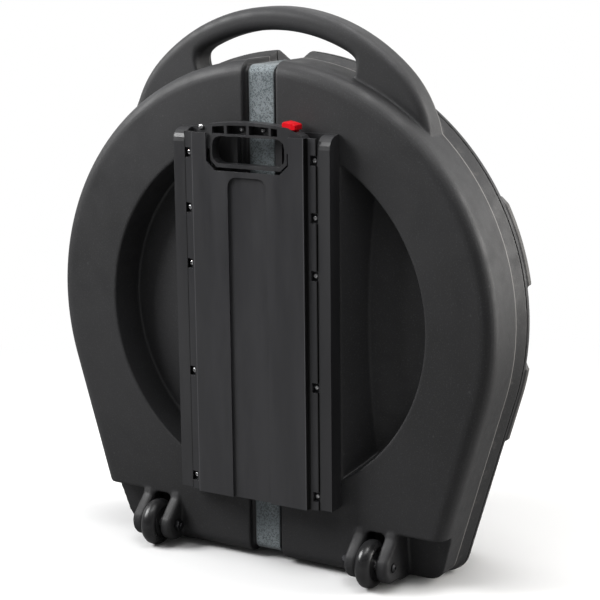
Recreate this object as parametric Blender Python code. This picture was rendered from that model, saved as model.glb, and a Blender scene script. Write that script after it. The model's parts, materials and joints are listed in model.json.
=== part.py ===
"""Wheeled hard case for cymbals: two moulded half shells, a pull handle in a housing on the back,
two small wheels, a webbing strap with a buckle, and foam round a centre post inside.

Metres, +Z up. The origin is the middle of the footprint on the ground. The back of the case,
with the pull handle and the wheels, faces -Y. The lid faces +Y. Depths are measured from the
back face towards the lid, so a negative depth stands proud of the back face.
"""

import bmesh
import bpy
from math import cos, pi, radians, sin, sqrt
from mathutils import Matrix, Vector

MM = 0.001
GAP = 0.3 * MM
SIDES = ((-1, "left"), (1, "right"))

# Outline of both half shells: a circle with sides that lean in to a flat bottom.
SHELL_R = 330 * MM
SHELL_Z = 343 * MM
SIDE_LEAN = radians(16.3)
BOTTOM_Z = 6 * MM
CORNER_R = 24 * MM
WALL = 5 * MM
ARC_STEPS = 48
CORNER_STEPS = 4

# Depths of the two shells.
EDGE_R = 18 * MM
BASE_STRAIGHT = 69 * MM
BASE_DEPTH = 88.6 * MM
RIM_FLARE = 7 * MM
RIM_DROP = 5 * MM
TONGUE_H = 6 * MM
TONGUE_OUT = 4.3 * MM
LID_START = BASE_DEPTH + GAP
LID_FACE = 172.5 * MM
LID_DEPTH = 178.5 * MM
LID_DISC_R = 232 * MM
LID_BAND_END = 96 * MM
LID_INSET = 24 * MM
PAD_OUT = 2.5 * MM
PAD_T = 5 * MM
PAD_DEPTH = (LID_BAND_END, 103 * MM, 150 * MM)
PAD_Z = ((189 * MM, 287 * MM), (395 * MM, 497 * MM))
FOOT_X = 160 * MM
FOOT_DEPTH = (118 * MM, 158 * MM)

# Wheels, and the pods that hold them.
WHEEL_X = 168 * MM
WHEEL_R = 32 * MM
WHEEL_W = 22 * MM
WHEEL_DEPTH = -12.5 * MM
WELL_HALF = 13.5 * MM
WELL_TOP = 70 * MM
WELL_CORNER = 7 * MM
WELL_DEPTH = 24 * MM
POD_HALF = 32 * MM
POD_DEPTH = -8.5 * MM
POD_NOSE = 22.5 * MM
POD_TOP = 84 * MM
POD_FILLET = (-6 * MM, 72 * MM)
POD_ROUND = 8 * MM
BOLT_R = 4 * MM
BEARING_R = 11 * MM

BACK_Y = (WHEEL_R - WHEEL_DEPTH - LID_DEPTH) / 2

# Lower corners beside the pods are set back from the back face.
STEP_Z = 72 * MM
STEP_DEPTH = (24 * MM, 36 * MM)

# Dish in the back face, and the raised band across it that carries the housing.
DISH_Z = 340 * MM
DISH_R = 237.5 * MM
DISH_FLOOR_R = 231.5 * MM
DISH_DEPTH = 47 * MM
DISH_CROWN = 17 * MM
BAND_HALF = 118 * MM
BAND_SLOPE = 0.6

# Strap and its groove.
GROOVE_HALF = 25 * MM
GROOVE_DEPTH = 9 * MM
GROOVE_TOP = SHELL_Z + SHELL_R - GROOVE_DEPTH
GROOVE_BOTTOM = BOTTOM_Z + GROOVE_DEPTH
STRAP_HALF = 19 * MM
STRAP_T = 2 * MM
LID_GROOVE = LID_FACE - GROOVE_DEPTH
POCKET_HALF = 36 * MM
POCKET_Z = (450 * MM, 580 * MM)

# Carry handle moulded in the base shell. Its outer radius shrinks towards its ends.
HANDLE_Z = 474.7 * MM
HANDLE_R = 263.5 * MM
HANDLE_BAR = 30.2 * MM
HANDLE_DEPTH = (36 * MM, 78 * MM)
HANDLE_ROUND = 12 * MM
HANDLE_TAPER_FROM = 44
HANDLE_TAPER = 0.03 * MM

# Pull handle housing on the back, and its cover.
HOUSING_X = 117 * MM
HOUSING_Z = (97 * MM, 585 * MM)
HOUSING_FRONT = -24 * MM
BAND_INNER_X = 99.5 * MM
BAND_SKIN = 3 * MM
PLATE_T = 4 * MM
WINDOW_HALF = 28.5 * MM
WINDOW_Z = 505 * MM
RIB_W = 10 * MM
COVER_X = 85 * MM
COVER_Z = (96 * MM, 581 * MM)
COVER_FRONT = -32 * MM
COVER_T = 2.5 * MM
FLANGE_X = 98.6 * MM
FLANGE_FRONT = -25.6 * MM
PANEL_BAND_X = 29.3 * MM
PANEL_BAND_Z = 526 * MM
PANEL_BAND_T = 3.5 * MM
SCREW_X = 94 * MM
SCREW_Z = [v * MM for v in (553.3, 480.8, 406.6, 260.4, 114.1)]
CUP_FLOOR = -19.5 * MM
NOTCH_X = 61.5 * MM
NOTCH_Z = 533 * MM
RIVET_X = 50 * MM
RIVET_Z = [v * MM for v in (140, 480)]
RIVET_R = 2.2 * MM

# Pull handle that slides in the housing.
GRIP_FRONT = -28 * MM
GRIP_BACK = -12 * MM
GRIP_BACK_PLATE = -8.2 * MM
RING_X = 57.6 * MM
RING_Z = 537 * MM
HOLE_X = 54.2 * MM
HOLE_Z = (541.5 * MM, 577.5 * MM)
HOLE_R = 12 * MM
CREST_Z = 596.5 * MM
SHOULDER_Z = 560 * MM
LEG_X = (60 * MM, 82 * MM)
LEG_DEPTH = (-20 * MM, -8.3 * MM)
LEG_LOW = 118 * MM
CROSSBAR_Z = (136 * MM, 165.7 * MM)
GUIDE_Z = (496 * MM, 526 * MM)
BUTTON_X = (50 * MM, 69 * MM)
BUTTON_Z = (590 * MM, 600 * MM)
STEM_X = (59 * MM, 68 * MM)
STEM_LOW = 575 * MM
SPRING_Z = (567 * MM, 574.4 * MM)

# Inside.
POST_R = 6 * MM
POST_END = 145 * MM
SLAB_DEPTH = (54 * MM, 62 * MM)
LINER_T = 14 * MM
LID_LINER_T = 20 * MM
LID_SLAB_R = 280 * MM
LID_SLAB_DEPTH = (147 * MM, 167.2 * MM)
KNOB_DEPTH = (119.3 * MM, 141 * MM)


def point(x, depth, z):
    return Vector((x, BACK_Y + depth, z))


def material(name, colour, roughness, metallic=0.0):
    made = bpy.data.materials.new(name)
    made.use_nodes = True
    shader = made.node_tree.nodes["Principled BSDF"]
    shader.inputs["Base Color"].default_value = (*colour, 1.0)
    shader.inputs["Roughness"].default_value = roughness
    shader.inputs["Metallic"].default_value = metallic
    return made


def add_mesh(name, bm):
    bmesh.ops.recalc_face_normals(bm, faces=bm.faces)
    mesh = bpy.data.meshes.new(name)
    bm.to_mesh(mesh)
    bm.free()
    made = bpy.data.objects.new(name, mesh)
    bpy.context.scene.collection.objects.link(made)
    return made


def arc(cx, cz, r, start, end, steps):
    """Points in a plane along an arc, both ends included."""
    turns = [start + (end - start) * i / steps for i in range(steps + 1)]
    return [(cx + r * cos(a), cz + r * sin(a)) for a in turns]


def rounded_box(half_x, low, high, r, steps):
    """Outline of a box with round corners, centred on X."""
    outline = []
    for cx, cz, start in ((half_x - r, high - r, 0), (r - half_x, high - r, pi / 2),
                          (r - half_x, low + r, pi), (half_x - r, low + r, 1.5 * pi)):
        outline += arc(cx, cz, r, start, start + pi / 2, steps)
    return outline


def loft(name, rings, closed=False):
    """Skin equal rings of points, with end caps unless the rings close on themselves."""
    bm = bmesh.new()
    rows = [[bm.verts.new(p) for p in ring] for ring in rings]
    pairs = list(zip(rows, rows[1:]))
    if closed:
        pairs.append((rows[-1], rows[0]))
    for low, high in pairs:
        for i in range(len(low)):
            j = (i + 1) % len(low)
            bm.faces.new((low[i], low[j], high[j], high[i]))
    if not closed:
        bm.faces.new(rows[0])
        bm.faces.new(rows[-1])
    return add_mesh(name, bm)


def prism_depth(name, outline, d0, d1):
    """Outline in X and Z, carried from depth d0 to d1."""
    return loft(name, [[point(x, d, z) for x, z in outline] for d in (d0, d1)])


def prism_x(name, outline, x0, x1):
    """Outline in depth and Z, carried from x0 to x1."""
    return loft(name, [[point(x, d, z) for d, z in outline] for x in (x0, x1)])


def prism_z(name, outline, z0, z1):
    """Outline in X and depth, carried from z0 to z1."""
    return loft(name, [[point(x, d, z) for x, d in outline] for z in (z0, z1)])


def box(name, xs, depths, zs):
    (x0, x1), (d0, d1) = sorted(xs), depths
    return prism_z(name, [(x0, d0), (x1, d0), (x1, d1), (x0, d1)], zs[0], zs[1])


def turned_depth(name, profile, x, z, steps, ring=False):
    """Profile of (radius, depth) turned about an axis along the depth."""
    rings = []
    for r, d in profile:
        around = arc(x, z, r, 0, 2 * pi, steps)[:-1]
        rings.append([point(px, d, pz) for px, pz in around])
    return loft(name, rings, closed=ring)


def turned_x(name, profile, x, steps, ring=False):
    """Profile of (radius, distance from x) turned about a wheel's axle."""
    rings = []
    for r, dx in profile:
        around = arc(WHEEL_DEPTH, WHEEL_R, r, 0, 2 * pi, steps)[:-1]
        rings.append([point(x + dx, d, z) for d, z in around])
    return loft(name, rings, closed=ring)


def combine(target, other, operation):
    """Boolean with the exact solver. The second object is used up."""
    step = target.modifiers.new("step", "BOOLEAN")
    step.operation = operation
    step.solver = "EXACT"
    step.object = other
    graph = bpy.context.evaluated_depsgraph_get()
    mesh = bpy.data.meshes.new_from_object(target.evaluated_get(graph))
    target.modifiers.clear()
    target.data = mesh
    bpy.data.objects.remove(other)
    return target


def cut(target, *others):
    for other in others:
        combine(target, other, "DIFFERENCE")
    return target


def fuse(target, *others):
    for other in others:
        combine(target, other, "UNION")
    return target


def cut_hole(target, r, d0, d1, x, z, steps=8):
    return cut(target, turned_depth("hole", [(r, d0), (r, d1)], x, z, steps))


def gather(name, pieces):
    """Join separate cutters into one object."""
    bm = bmesh.new()
    for piece in pieces:
        bm.from_mesh(piece.data)
        bpy.data.objects.remove(piece)
    return add_mesh(name, bm)


def finish(made, look, round_piece=False):
    made.data.materials.clear()
    made.data.materials.append(look)
    if round_piece:
        made.data.shade_smooth()
        made.data.set_sharp_from_angle(angle=radians(30))
    return made


def shell_ring(offset, depth):
    """The case's outline at one depth, moved outwards by the offset."""
    lean_sin, lean_cos = sin(SIDE_LEAN), cos(SIDE_LEAN)
    drop = offset * RIM_DROP / RIM_FLARE if offset > 0 else offset
    corner = max(CORNER_R + offset, 1 * MM)
    corner_z = BOTTOM_Z - drop + corner
    corner_x = (SHELL_R + offset - corner + lean_sin * (corner_z - SHELL_Z)) / lean_cos
    outline = arc(corner_x, corner_z, corner, -pi / 2, -SIDE_LEAN, CORNER_STEPS)
    outline += arc(0, SHELL_Z, SHELL_R + offset, -SIDE_LEAN, pi + SIDE_LEAN, ARC_STEPS)
    outline += arc(-corner_x, corner_z, corner, pi + SIDE_LEAN, 1.5 * pi, CORNER_STEPS)
    return [point(x, depth, z) for x, z in outline]


def edge_rings(inset, radius, face, direction):
    """Rings round the rounded edge from a face at this depth to the side wall."""
    rings = []
    for turn in (0, 30, 60, 90):
        side = radius * (1 - sin(radians(turn)))
        rings.append(shell_ring(-inset - side, face + direction * radius * (1 - cos(radians(turn)))))
    return rings


def lid_offset(depth):
    """How far the lid's side wall, which leans in behind its band, stands off the case's outline."""
    lean = (RIM_FLARE + LID_INSET) / (LID_FACE - EDGE_R - LID_BAND_END)
    return RIM_FLARE - lean * max(depth - LID_BAND_END, 0)


def groove_line(ends_at, floor, lift, steps):
    """Side view of a line this far above the groove's floor, round three sides of one shell.

    On the lid it leans in with the side wall. A negative lift is inside the floor.
    """
    on_lid = ends_at < floor
    sign, inset = (-1, LID_INSET) if on_lid else (1, 0.0)
    r = GROOVE_DEPTH + max(lift, 0)
    low, high, face = GROOVE_BOTTOM - lift, GROOVE_TOP + lift, floor - sign * lift
    line = [(ends_at, low)]
    if on_lid:
        line.append((LID_BAND_END, low))
    low_z, high_z = low + inset + r, high - inset - r
    line += [(face + sign * (r + d), low_z + z) for d, z in arc(0, 0, r, 1.5 * pi, pi, steps)]
    line += [(face + sign * (r + d), high_z + z) for d, z in arc(0, 0, r, pi, 0.5 * pi, steps)]
    if on_lid:
        line.append((LID_BAND_END, high))
    line.append((ends_at, high))
    return line


def strap_channel(name, half, ends_at, floor, wall):
    """Everything outside the line of the groove's floor, moved inwards by the wall."""
    beyond = 40 * MM
    far = floor - beyond if ends_at > floor else floor + beyond
    outline = [(ends_at, GROOVE_TOP + beyond), (far, GROOVE_TOP + beyond), (far, -beyond), (ends_at, -beyond)]
    return prism_x(name, outline + groove_line(ends_at, floor, -wall, 4), -half, half)


def dish(name, wall):
    """The round dish with its crowned floor, less the band that crosses it."""
    def floor(r):
        return DISH_DEPTH - DISH_CROWN * (1 - (r / DISH_FLOOR_R) ** 2) + wall
    mouth, deep = -2 * MM, DISH_DEPTH + wall
    profile = [(DISH_R + wall, mouth), (DISH_R + wall, 0.0), (DISH_FLOOR_R + wall, deep)]
    profile += [(r, floor(r)) for r in (190 * MM, 150 * MM)]
    made = turned_depth(name, profile, 0, DISH_Z, 64)
    ends = (mouth - MM, deep + 20 * MM)
    near, far = [BAND_HALF - wall + BAND_SLOPE * d for d in ends]
    outline = [(-near, ends[0]), (near, ends[0]), (far, ends[1]), (-far, ends[1])]
    return cut(made, prism_z("band", outline, 50 * MM, 640 * MM))


def carry_handle():
    """Curved grip over the top, whose ends run out along the shell's rim."""
    drop = HANDLE_Z - SHELL_Z
    deep = SHELL_R - 8 * MM
    inner = HANDLE_R - HANDLE_BAR

    def body_radius(turn):
        return sqrt((drop * cos(turn)) ** 2 + deep ** 2 - drop ** 2) - drop * cos(turn)

    right = [(radians(a), inner) for a in (7, 14, 21, 27)]
    right += [(radians(a), inner - fall * MM) for a, fall in ((30, 2), (31.4, 6), (32.3, 11), (33, 17))]
    right += [(radians(a), body_radius(radians(a))) for a in (34, 39, 44, 49, 54, 59, 64, 69, 74)]
    stations = [(-a, r) for a, r in reversed(right)] + [(0, inner)] + right
    rings = []
    for turn, r_in in stations:
        past = max(abs(turn) * 180 / pi - HANDLE_TAPER_FROM, 0)
        r_out = max(HANDLE_R - HANDLE_TAPER * past ** 2, r_in + 2 * MM)
        r = min(HANDLE_ROUND, 0.48 * (r_out - r_in))
        outline = []
        for d, c, start in ((HANDLE_DEPTH[1] - r, r_out - r, 0), (HANDLE_DEPTH[0] + r, r_out - r, pi / 2),
                            (HANDLE_DEPTH[0] + r, r_in + r, pi), (HANDLE_DEPTH[1] - r, r_in + r, 1.5 * pi)):
            outline += arc(d, c, r, start, start + pi / 2, 2)
        rings.append([point(c * sin(turn), d, HANDLE_Z + c * cos(turn)) for d, c in outline])
    return loft("carry_handle", rings)


def wheel_cheek(inner, outer):
    """One of the two rounded lobes of the base shell that hold a wheel between them."""
    nose = arc(POD_DEPTH, WHEEL_R, POD_NOSE, radians(150), radians(270), 6)
    outline = [(40 * MM, POD_TOP), (0, POD_TOP), POD_FILLET] + nose + [(40 * MM, WHEEL_R - POD_NOSE)]
    cheek = prism_x("cheek", outline, inner, outer)
    bm = bmesh.new()
    bm.from_mesh(cheek.data)
    flank = [e for e in bm.edges if abs(e.verts[0].co.x - e.verts[1].co.x) < 1e-6]
    flank = [e for e in flank if min(v.co.y for v in e.verts) < BACK_Y - 1e-6]
    bmesh.ops.bevel(bm, geom=flank, offset=POD_ROUND, segments=3, profile=0.5, affect="EDGES")
    bm.to_mesh(cheek.data)
    bm.free()
    return cheek


def corner_step(name, x_in, wall):
    """The lower corners are set back from the back face. The wall keeps the shell's thickness."""
    high, low = STEP_DEPTH[0] + wall, STEP_DEPTH[1] + wall
    outline = [(-50 * MM, STEP_Z + wall), (high, STEP_Z + wall), (high + 4 * MM, STEP_Z - 8 * MM),
               (low, BOTTOM_Z), (low, -20 * MM), (-50 * MM, -20 * MM)]
    return gather(name, [prism_x(name, outline, side * x_in, side * 300 * MM) for side, _ in SIDES])


def wells(name, wall, front):
    """The space each wheel turns in."""
    made = []
    opening = rounded_box(WELL_HALF + wall, -40 * MM, WELL_TOP + wall, WELL_CORNER + wall, 3)
    for side, _ in SIDES:
        outline = [(side * WHEEL_X + x, z) for x, z in opening]
        made.append(prism_depth(name, outline, front, WELL_DEPTH + wall))
    return gather(name, made)


def rivet_places():
    return [(side * RIVET_X, z) for side, _ in SIDES for z in RIVET_Z]


def screw_places():
    return [(side * SCREW_X, z) for side, _ in SIDES for z in SCREW_Z]


def base_shell(look):
    shell = loft("base_shell", edge_rings(0, EDGE_R, 0, 1) + [
        shell_ring(0, BASE_STRAIGHT), shell_ring(RIM_FLARE, BASE_DEPTH),
        shell_ring(TONGUE_OUT, BASE_DEPTH), shell_ring(TONGUE_OUT, BASE_DEPTH + TONGUE_H)])
    hollow = loft("hollow", edge_rings(WALL, EDGE_R - WALL, WALL, 1) + [
        shell_ring(-WALL, BASE_STRAIGHT), shell_ring(RIM_FLARE - WALL, BASE_DEPTH),
        shell_ring(RIM_FLARE - WALL, BASE_DEPTH + 20 * MM)])
    end = BASE_DEPTH + 40 * MM
    cut(hollow, dish("dish_wall", WALL), wells("well_wall", WALL, -50 * MM),
        corner_step("step_wall", 195 * MM, WALL),
        strap_channel("groove_wall", GROOVE_HALF + WALL, end, GROOVE_DEPTH, WALL))

    cut(shell, dish("dish", 0.0), corner_step("step", 199 * MM, 0.0))
    for side, _ in SIDES:
        x = side * WHEEL_X
        fuse(shell, wheel_cheek(x - POD_HALF, x - WELL_HALF), wheel_cheek(x + WELL_HALF, x + POD_HALF))
    fuse(shell, carry_handle())
    cut(shell, strap_channel("groove", GROOVE_HALF, end, GROOVE_DEPTH, 0.0),
        wells("well", 0.0, -60 * MM), hollow)
    clear = GROOVE_HALF + WALL + MM
    cut(shell, box("tongue_gap", (-clear, clear), (BASE_DEPTH, end), (-20 * MM, 720 * MM)))
    reach = POD_HALF + 10 * MM
    for side, _ in SIDES:
        cut(shell, turned_x("hole", [(BOLT_R + GAP, -reach), (BOLT_R + GAP, reach)], side * WHEEL_X, 12))
    for x, z in rivet_places():
        cut_hole(shell, RIVET_R + GAP, -5 * MM, 10 * MM, x, z)
    return finish(shell, look, True)


def lid_shell(look):
    """Shallow half with an upright band at its rim. Its side wall leans in behind the band."""
    shell = loft("lid_shell", [shell_ring(RIM_FLARE, LID_START), shell_ring(RIM_FLARE, LID_BAND_END)]
                 + edge_rings(LID_INSET, EDGE_R, LID_FACE, -1)[::-1])
    step = LID_START + TONGUE_H + GAP
    clear = TONGUE_OUT + 0.6 * MM
    hollow = loft("hollow", [
        shell_ring(clear, LID_START - 10 * MM), shell_ring(clear, step),
        shell_ring(RIM_FLARE - WALL, step), shell_ring(RIM_FLARE - WALL, LID_BAND_END)
    ] + edge_rings(LID_INSET + WALL, EDGE_R - WALL, LID_FACE - WALL, -1)[::-1])

    near, crown, far = PAD_DEPTH
    pads = loft("pads", [shell_ring(RIM_FLARE + PAD_OUT, near), shell_ring(RIM_FLARE + PAD_OUT, crown),
                         shell_ring(lid_offset(far) + PAD_T, far)])
    slabs = []
    for side, _ in SIDES:
        for zs in PAD_Z:
            slabs.append(box("slab", (side * 250 * MM, side * 400 * MM), (near - 6 * MM, far + 10 * MM), zs))
    combine(pads, gather("slabs", slabs), "INTERSECT")
    disc = [(LID_DISC_R + 3 * MM, LID_FACE - 3 * MM), (LID_DISC_R - 6 * MM, LID_DEPTH)]
    fuse(shell, pads, turned_depth("disc", disc, 0, DISH_Z, 64))
    for side, _ in SIDES:
        xs = (side * FOOT_X - 30 * MM, side * FOOT_X + 30 * MM)
        fuse(shell, box("foot", xs, FOOT_DEPTH, (0, BOTTOM_Z + 30 * MM)))

    start = LID_START - 60 * MM
    cut(hollow, strap_channel("groove_wall", GROOVE_HALF + WALL, start, LID_GROOVE, WALL))
    pocket_wall = (POCKET_Z[0] - WALL, POCKET_Z[1] + WALL)
    cut(hollow, box("pocket_wall", (-POCKET_HALF - WALL, POCKET_HALF + WALL),
                    (LID_GROOVE - WALL, 220 * MM), pocket_wall))
    cut(shell, strap_channel("groove", GROOVE_HALF, start, LID_GROOVE, 0.0))
    cut(shell, box("pocket", (-POCKET_HALF, POCKET_HALF), (LID_GROOVE, 220 * MM), POCKET_Z))
    cut(shell, hollow)
    return finish(shell, look, True)


def strap_band(name, ends_at, floor):
    """Webbing that follows the groove round three sides of one shell."""
    under, over = [groove_line(ends_at, floor, lift, 5) for lift in (GAP, GAP + STRAP_T)]
    return prism_x(name, under + over[::-1], -STRAP_HALF, STRAP_HALF)


def front_strap(name, zs, look):
    """One end of the webbing on the lid. The rest of its round, within zs, is taken off."""
    whole = strap_band(name, LID_START + GAP, LID_GROOVE)
    return finish(cut(whole, box("rest", (-60 * MM, 60 * MM), (60 * MM, 220 * MM), zs)), look)


def side_band(name, x0, x1, skin):
    """Side view of a housing band: flat front with a rounded upper corner."""
    front, back = HOUSING_FRONT + skin, -GAP - (PLATE_T if skin else 0)
    low, high = HOUSING_Z[0] + skin, HOUSING_Z[1] - MM - skin
    r = 17 * MM - skin
    outline = [(back, low), (front, low)] + arc(front + r, high - r, r, pi, pi / 2, 5) + [(back, high)]
    return prism_x(name, outline, x0, x1)


def trolley_housing(look):
    housing = box("trolley_housing", (-HOUSING_X, HOUSING_X), (-GAP - PLATE_T, -GAP), HOUSING_Z)
    for side, _ in SIDES:
        fuse(housing, side_band("band", side * BAND_INNER_X, side * HOUSING_X, 0.0))
        inner = (side * (BAND_INNER_X - 5 * MM), side * (HOUSING_X - BAND_SKIN - 0.5 * MM))
        cut(housing, side_band("space", inner[0], inner[1], BAND_SKIN))
        rib = (side * (WINDOW_HALF - MM), side * (WINDOW_HALF + RIB_W))
        fuse(housing, box("rib", rib, (-7.8 * MM, -2 * MM), (WINDOW_Z - 8 * MM, HOUSING_Z[1] - MM)))
    window = (WINDOW_Z, HOUSING_Z[1] + 5 * MM)
    cut(housing, box("window", (-WINDOW_HALF, WINDOW_HALF), (-20 * MM, 5 * MM), window))
    for x, z in screw_places():
        boss = [(4.5 * MM, -2 * MM), (4.5 * MM, CUP_FLOOR + COVER_T + GAP)]
        fuse(housing, turned_depth("boss", boss, x, z, 10))
        cut_hole(housing, 1.9 * MM, CUP_FLOOR - 5 * MM, -6 * MM, x, z)
    for x, z in rivet_places():
        cut_hole(housing, RIVET_R + GAP, -9 * MM, 5 * MM, x, z)
    return finish(housing, look, True)


def cover_panel(look):
    """Raised panel with low flanges on both sides, screwed down through cups in the flanges."""
    back = FLANGE_FRONT + 3 * MM
    edge = [(FLANGE_X, back), (FLANGE_X, FLANGE_FRONT), (COVER_X, FLANGE_FRONT), (COVER_X - 1.5 * MM, COVER_FRONT)]
    under = [(COVER_X - COVER_T, COVER_FRONT + COVER_T), (COVER_X - COVER_T, back)]
    outline = edge + [(-x, d) for x, d in reversed(edge)]
    outline += [(-x, d) for x, d in reversed(under)] + under
    panel = prism_z("cover_panel", outline, *COVER_Z)
    fuse(panel, box("backing", (-32 * MM, 32 * MM), (COVER_FRONT + COVER_T - MM, COVER_FRONT + 6 * MM),
                    (COVER_Z[0] + MM, PANEL_BAND_Z + 3 * MM)))
    fuse(panel, box("end", (-COVER_X + MM, COVER_X - MM), (COVER_FRONT + MM, -5 * MM),
                    (COVER_Z[0], COVER_Z[0] + 3 * MM)))
    band = rounded_box(PANEL_BAND_X, 60 * MM, PANEL_BAND_Z, 13 * MM, 4)
    cut(panel, prism_depth("band", band, COVER_FRONT - 5 * MM, COVER_FRONT + PANEL_BAND_T))
    notch = [(-NOTCH_X, 600 * MM), (-NOTCH_X, NOTCH_Z + 12 * MM), (-NOTCH_X + 13 * MM, NOTCH_Z)]
    notch += [(-x, z) for x, z in reversed(notch)]
    cut(panel, prism_depth("notch", notch, COVER_FRONT - 5 * MM, -10 * MM))
    for x, z in screw_places():
        out = 1 if x > 0 else -1
        cup = (x - out * 5.5 * MM, x + out * 4.5 * MM)
        fuse(panel, box("cup", cup, (FLANGE_FRONT + MM, CUP_FLOOR + COVER_T), (z - 8 * MM, z + 8 * MM)))
        space = (x - out * 4 * MM, x + out * 6 * MM)
        cut(panel, box("space", space, (FLANGE_FRONT - 2 * MM, CUP_FLOOR), (z - 6.5 * MM, z + 6.5 * MM)))
        cut_hole(panel, 2 * MM, CUP_FLOOR - 2 * MM, CUP_FLOOR + 8 * MM, x, z)
    return finish(panel, look, True)


def pan_screw(name, x, z, seat, head_r, length, look):
    """Round headed screw that points inwards. Seat is the depth of the face under its head."""
    under, shank_r = seat - GAP, 1.6 * MM
    top = under - 2.4 * MM
    profile = [(head_r * 0.6, top), (head_r, under - 1.1 * MM), (head_r, under)]
    profile += [(shank_r, under), (shank_r, under + length)]
    made = turned_depth(name, profile, x, z, 10)
    slot = box("slot", (x - head_r * 0.5, x + head_r * 0.5), (top - MM, top + 1.1 * MM), (z - 0.5 * MM, z + 0.5 * MM))
    return finish(cut(made, slot), look, True)


def rivet(name, x, z, look):
    head = -GAP - PLATE_T - GAP
    tail = WALL + GAP
    profile = [(RIVET_R, head - 2.2 * MM), (4.6 * MM, head - 1.2 * MM), (4.6 * MM, head), (RIVET_R, head),
               (RIVET_R, tail), (4.6 * MM, tail), (4.6 * MM, tail + 1.6 * MM)]
    return finish(turned_depth(name, profile, x, z, 8), look, True)


def crest(x):
    """Height of the grip's curved top."""
    return CREST_Z - 1.2 * x * x


def handle_grip(look):
    """Ring, ribbed top bar and sloping shoulders, seen from behind the case."""
    half = [(x * MM, crest(x * MM)) for x in (0, 15, 30, 45, 59)]
    half += [(79 * MM, 583.5 * MM), (LEG_X[1], 580 * MM), (LEG_X[1], SHOULDER_Z), (RING_X, SHOULDER_Z),
             (RING_X, RING_Z + 9 * MM), (RING_X - 10 * MM, RING_Z)]
    outline = half + [(-x, z) for x, z in reversed(half[1:])]
    grip = prism_depth("handle_grip", outline, GRIP_FRONT, GRIP_BACK)
    cut(grip, prism_depth("hole", rounded_box(HOLE_X, *HOLE_Z, HOLE_R, 3), -50 * MM, 5 * MM))
    for x0, x1 in ((-53.5, -35.3), (-31.3, -2.0), (2.0, 31.3), (34.6, 44.0)):
        x0, x1 = x0 * MM, x1 * MM
        low, lift = HOLE_Z[1] + 3 * MM, 4 * MM
        outline = [(x0, low), (x1, low), (x1, crest(x1) - lift), (x0, crest(x0) - lift)]
        cut(grip, prism_depth("pocket", outline, GRIP_FRONT - 5 * MM, GRIP_BACK - 3 * MM))
    cut(grip, box("arm", (-90 * MM, -61.2 * MM), (-40 * MM, -22 * MM), (540 * MM, 610 * MM)))
    cut(grip, box("cap", (BUTTON_X[0] - GAP, BUTTON_X[1] + GAP), (-26.8 * MM, 0),
                  (BUTTON_Z[0] - 4.5 * MM, 620 * MM)))
    cut(grip, box("stem", (STEM_X[0] - GAP, STEM_X[1] + GAP), (-19 * MM, -14 * MM), (566 * MM, 620 * MM)))
    cut(grip, box("bolt", (STEM_X[1], 90 * MM), (-18.3 * MM, -13.7 * MM), (567.7 * MM, 574.3 * MM)))
    for side, _ in SIDES:
        cut_hole(grip, 1.9 * MM, -40 * MM, 0, side * 16 * MM, 586 * MM)
    return finish(grip, look)


def grip_back(look):
    xs = (-BUTTON_X[0] + 2 * MM, BUTTON_X[0] - 2 * MM)
    zs = (HOLE_Z[1] + MM, crest(xs[1]) - MM)
    plate = box("grip_back", xs, (GRIP_BACK + GAP, GRIP_BACK_PLATE), zs)
    for side, _ in SIDES:
        cut_hole(plate, 1.9 * MM, -20 * MM, GRIP_BACK_PLATE - 1.2 * MM, side * 16 * MM, 586 * MM)
    return finish(plate, look)


def release_button(look):
    cap = [(BUTTON_X[0], BUTTON_Z[0]), (BUTTON_X[1], BUTTON_Z[0]),
           (BUTTON_X[1], BUTTON_Z[1] - 4 * MM), (BUTTON_X[1] - 5 * MM, BUTTON_Z[1] - 2 * MM),
           (BUTTON_X[0] + 3 * MM, BUTTON_Z[1]), (BUTTON_X[0], BUTTON_Z[1] - 2 * MM)]
    button = prism_depth("release_button", cap, -26.5 * MM, -8.5 * MM)
    stem = box("stem", STEM_X, (-18.7 * MM, -14.3 * MM), (STEM_LOW, BUTTON_Z[0] + MM))
    return finish(fuse(button, stem), look)


def button_spring(look):
    """Small coil under the button's stem."""
    turns, steps, r = 3, 8, 1.5 * MM
    low, high = SPRING_Z
    curve = bpy.data.curves.new("button_spring", "CURVE")
    curve.dimensions = "3D"
    curve.bevel_depth = 0.35 * MM
    curve.bevel_resolution = 0
    curve.use_fill_caps = True
    line = curve.splines.new("POLY")
    line.points.add(turns * steps)
    for i, knot in enumerate(line.points):
        turn = 2 * pi * i / steps
        height = low + (high - low) * i / (turns * steps)
        knot.co = (*point((STEM_X[0] + STEM_X[1]) / 2 + r * cos(turn), -16.5 * MM + r * sin(turn), height), 1.0)
    coil = bpy.data.objects.new("coil", curve)
    bpy.context.scene.collection.objects.link(coil)
    graph = bpy.context.evaluated_depsgraph_get()
    mesh = bpy.data.meshes.new_from_object(coil.evaluated_get(graph))
    bpy.data.objects.remove(coil)
    made = bpy.data.objects.new("button_spring", mesh)
    bpy.context.scene.collection.objects.link(made)
    return finish(made, look)


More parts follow.
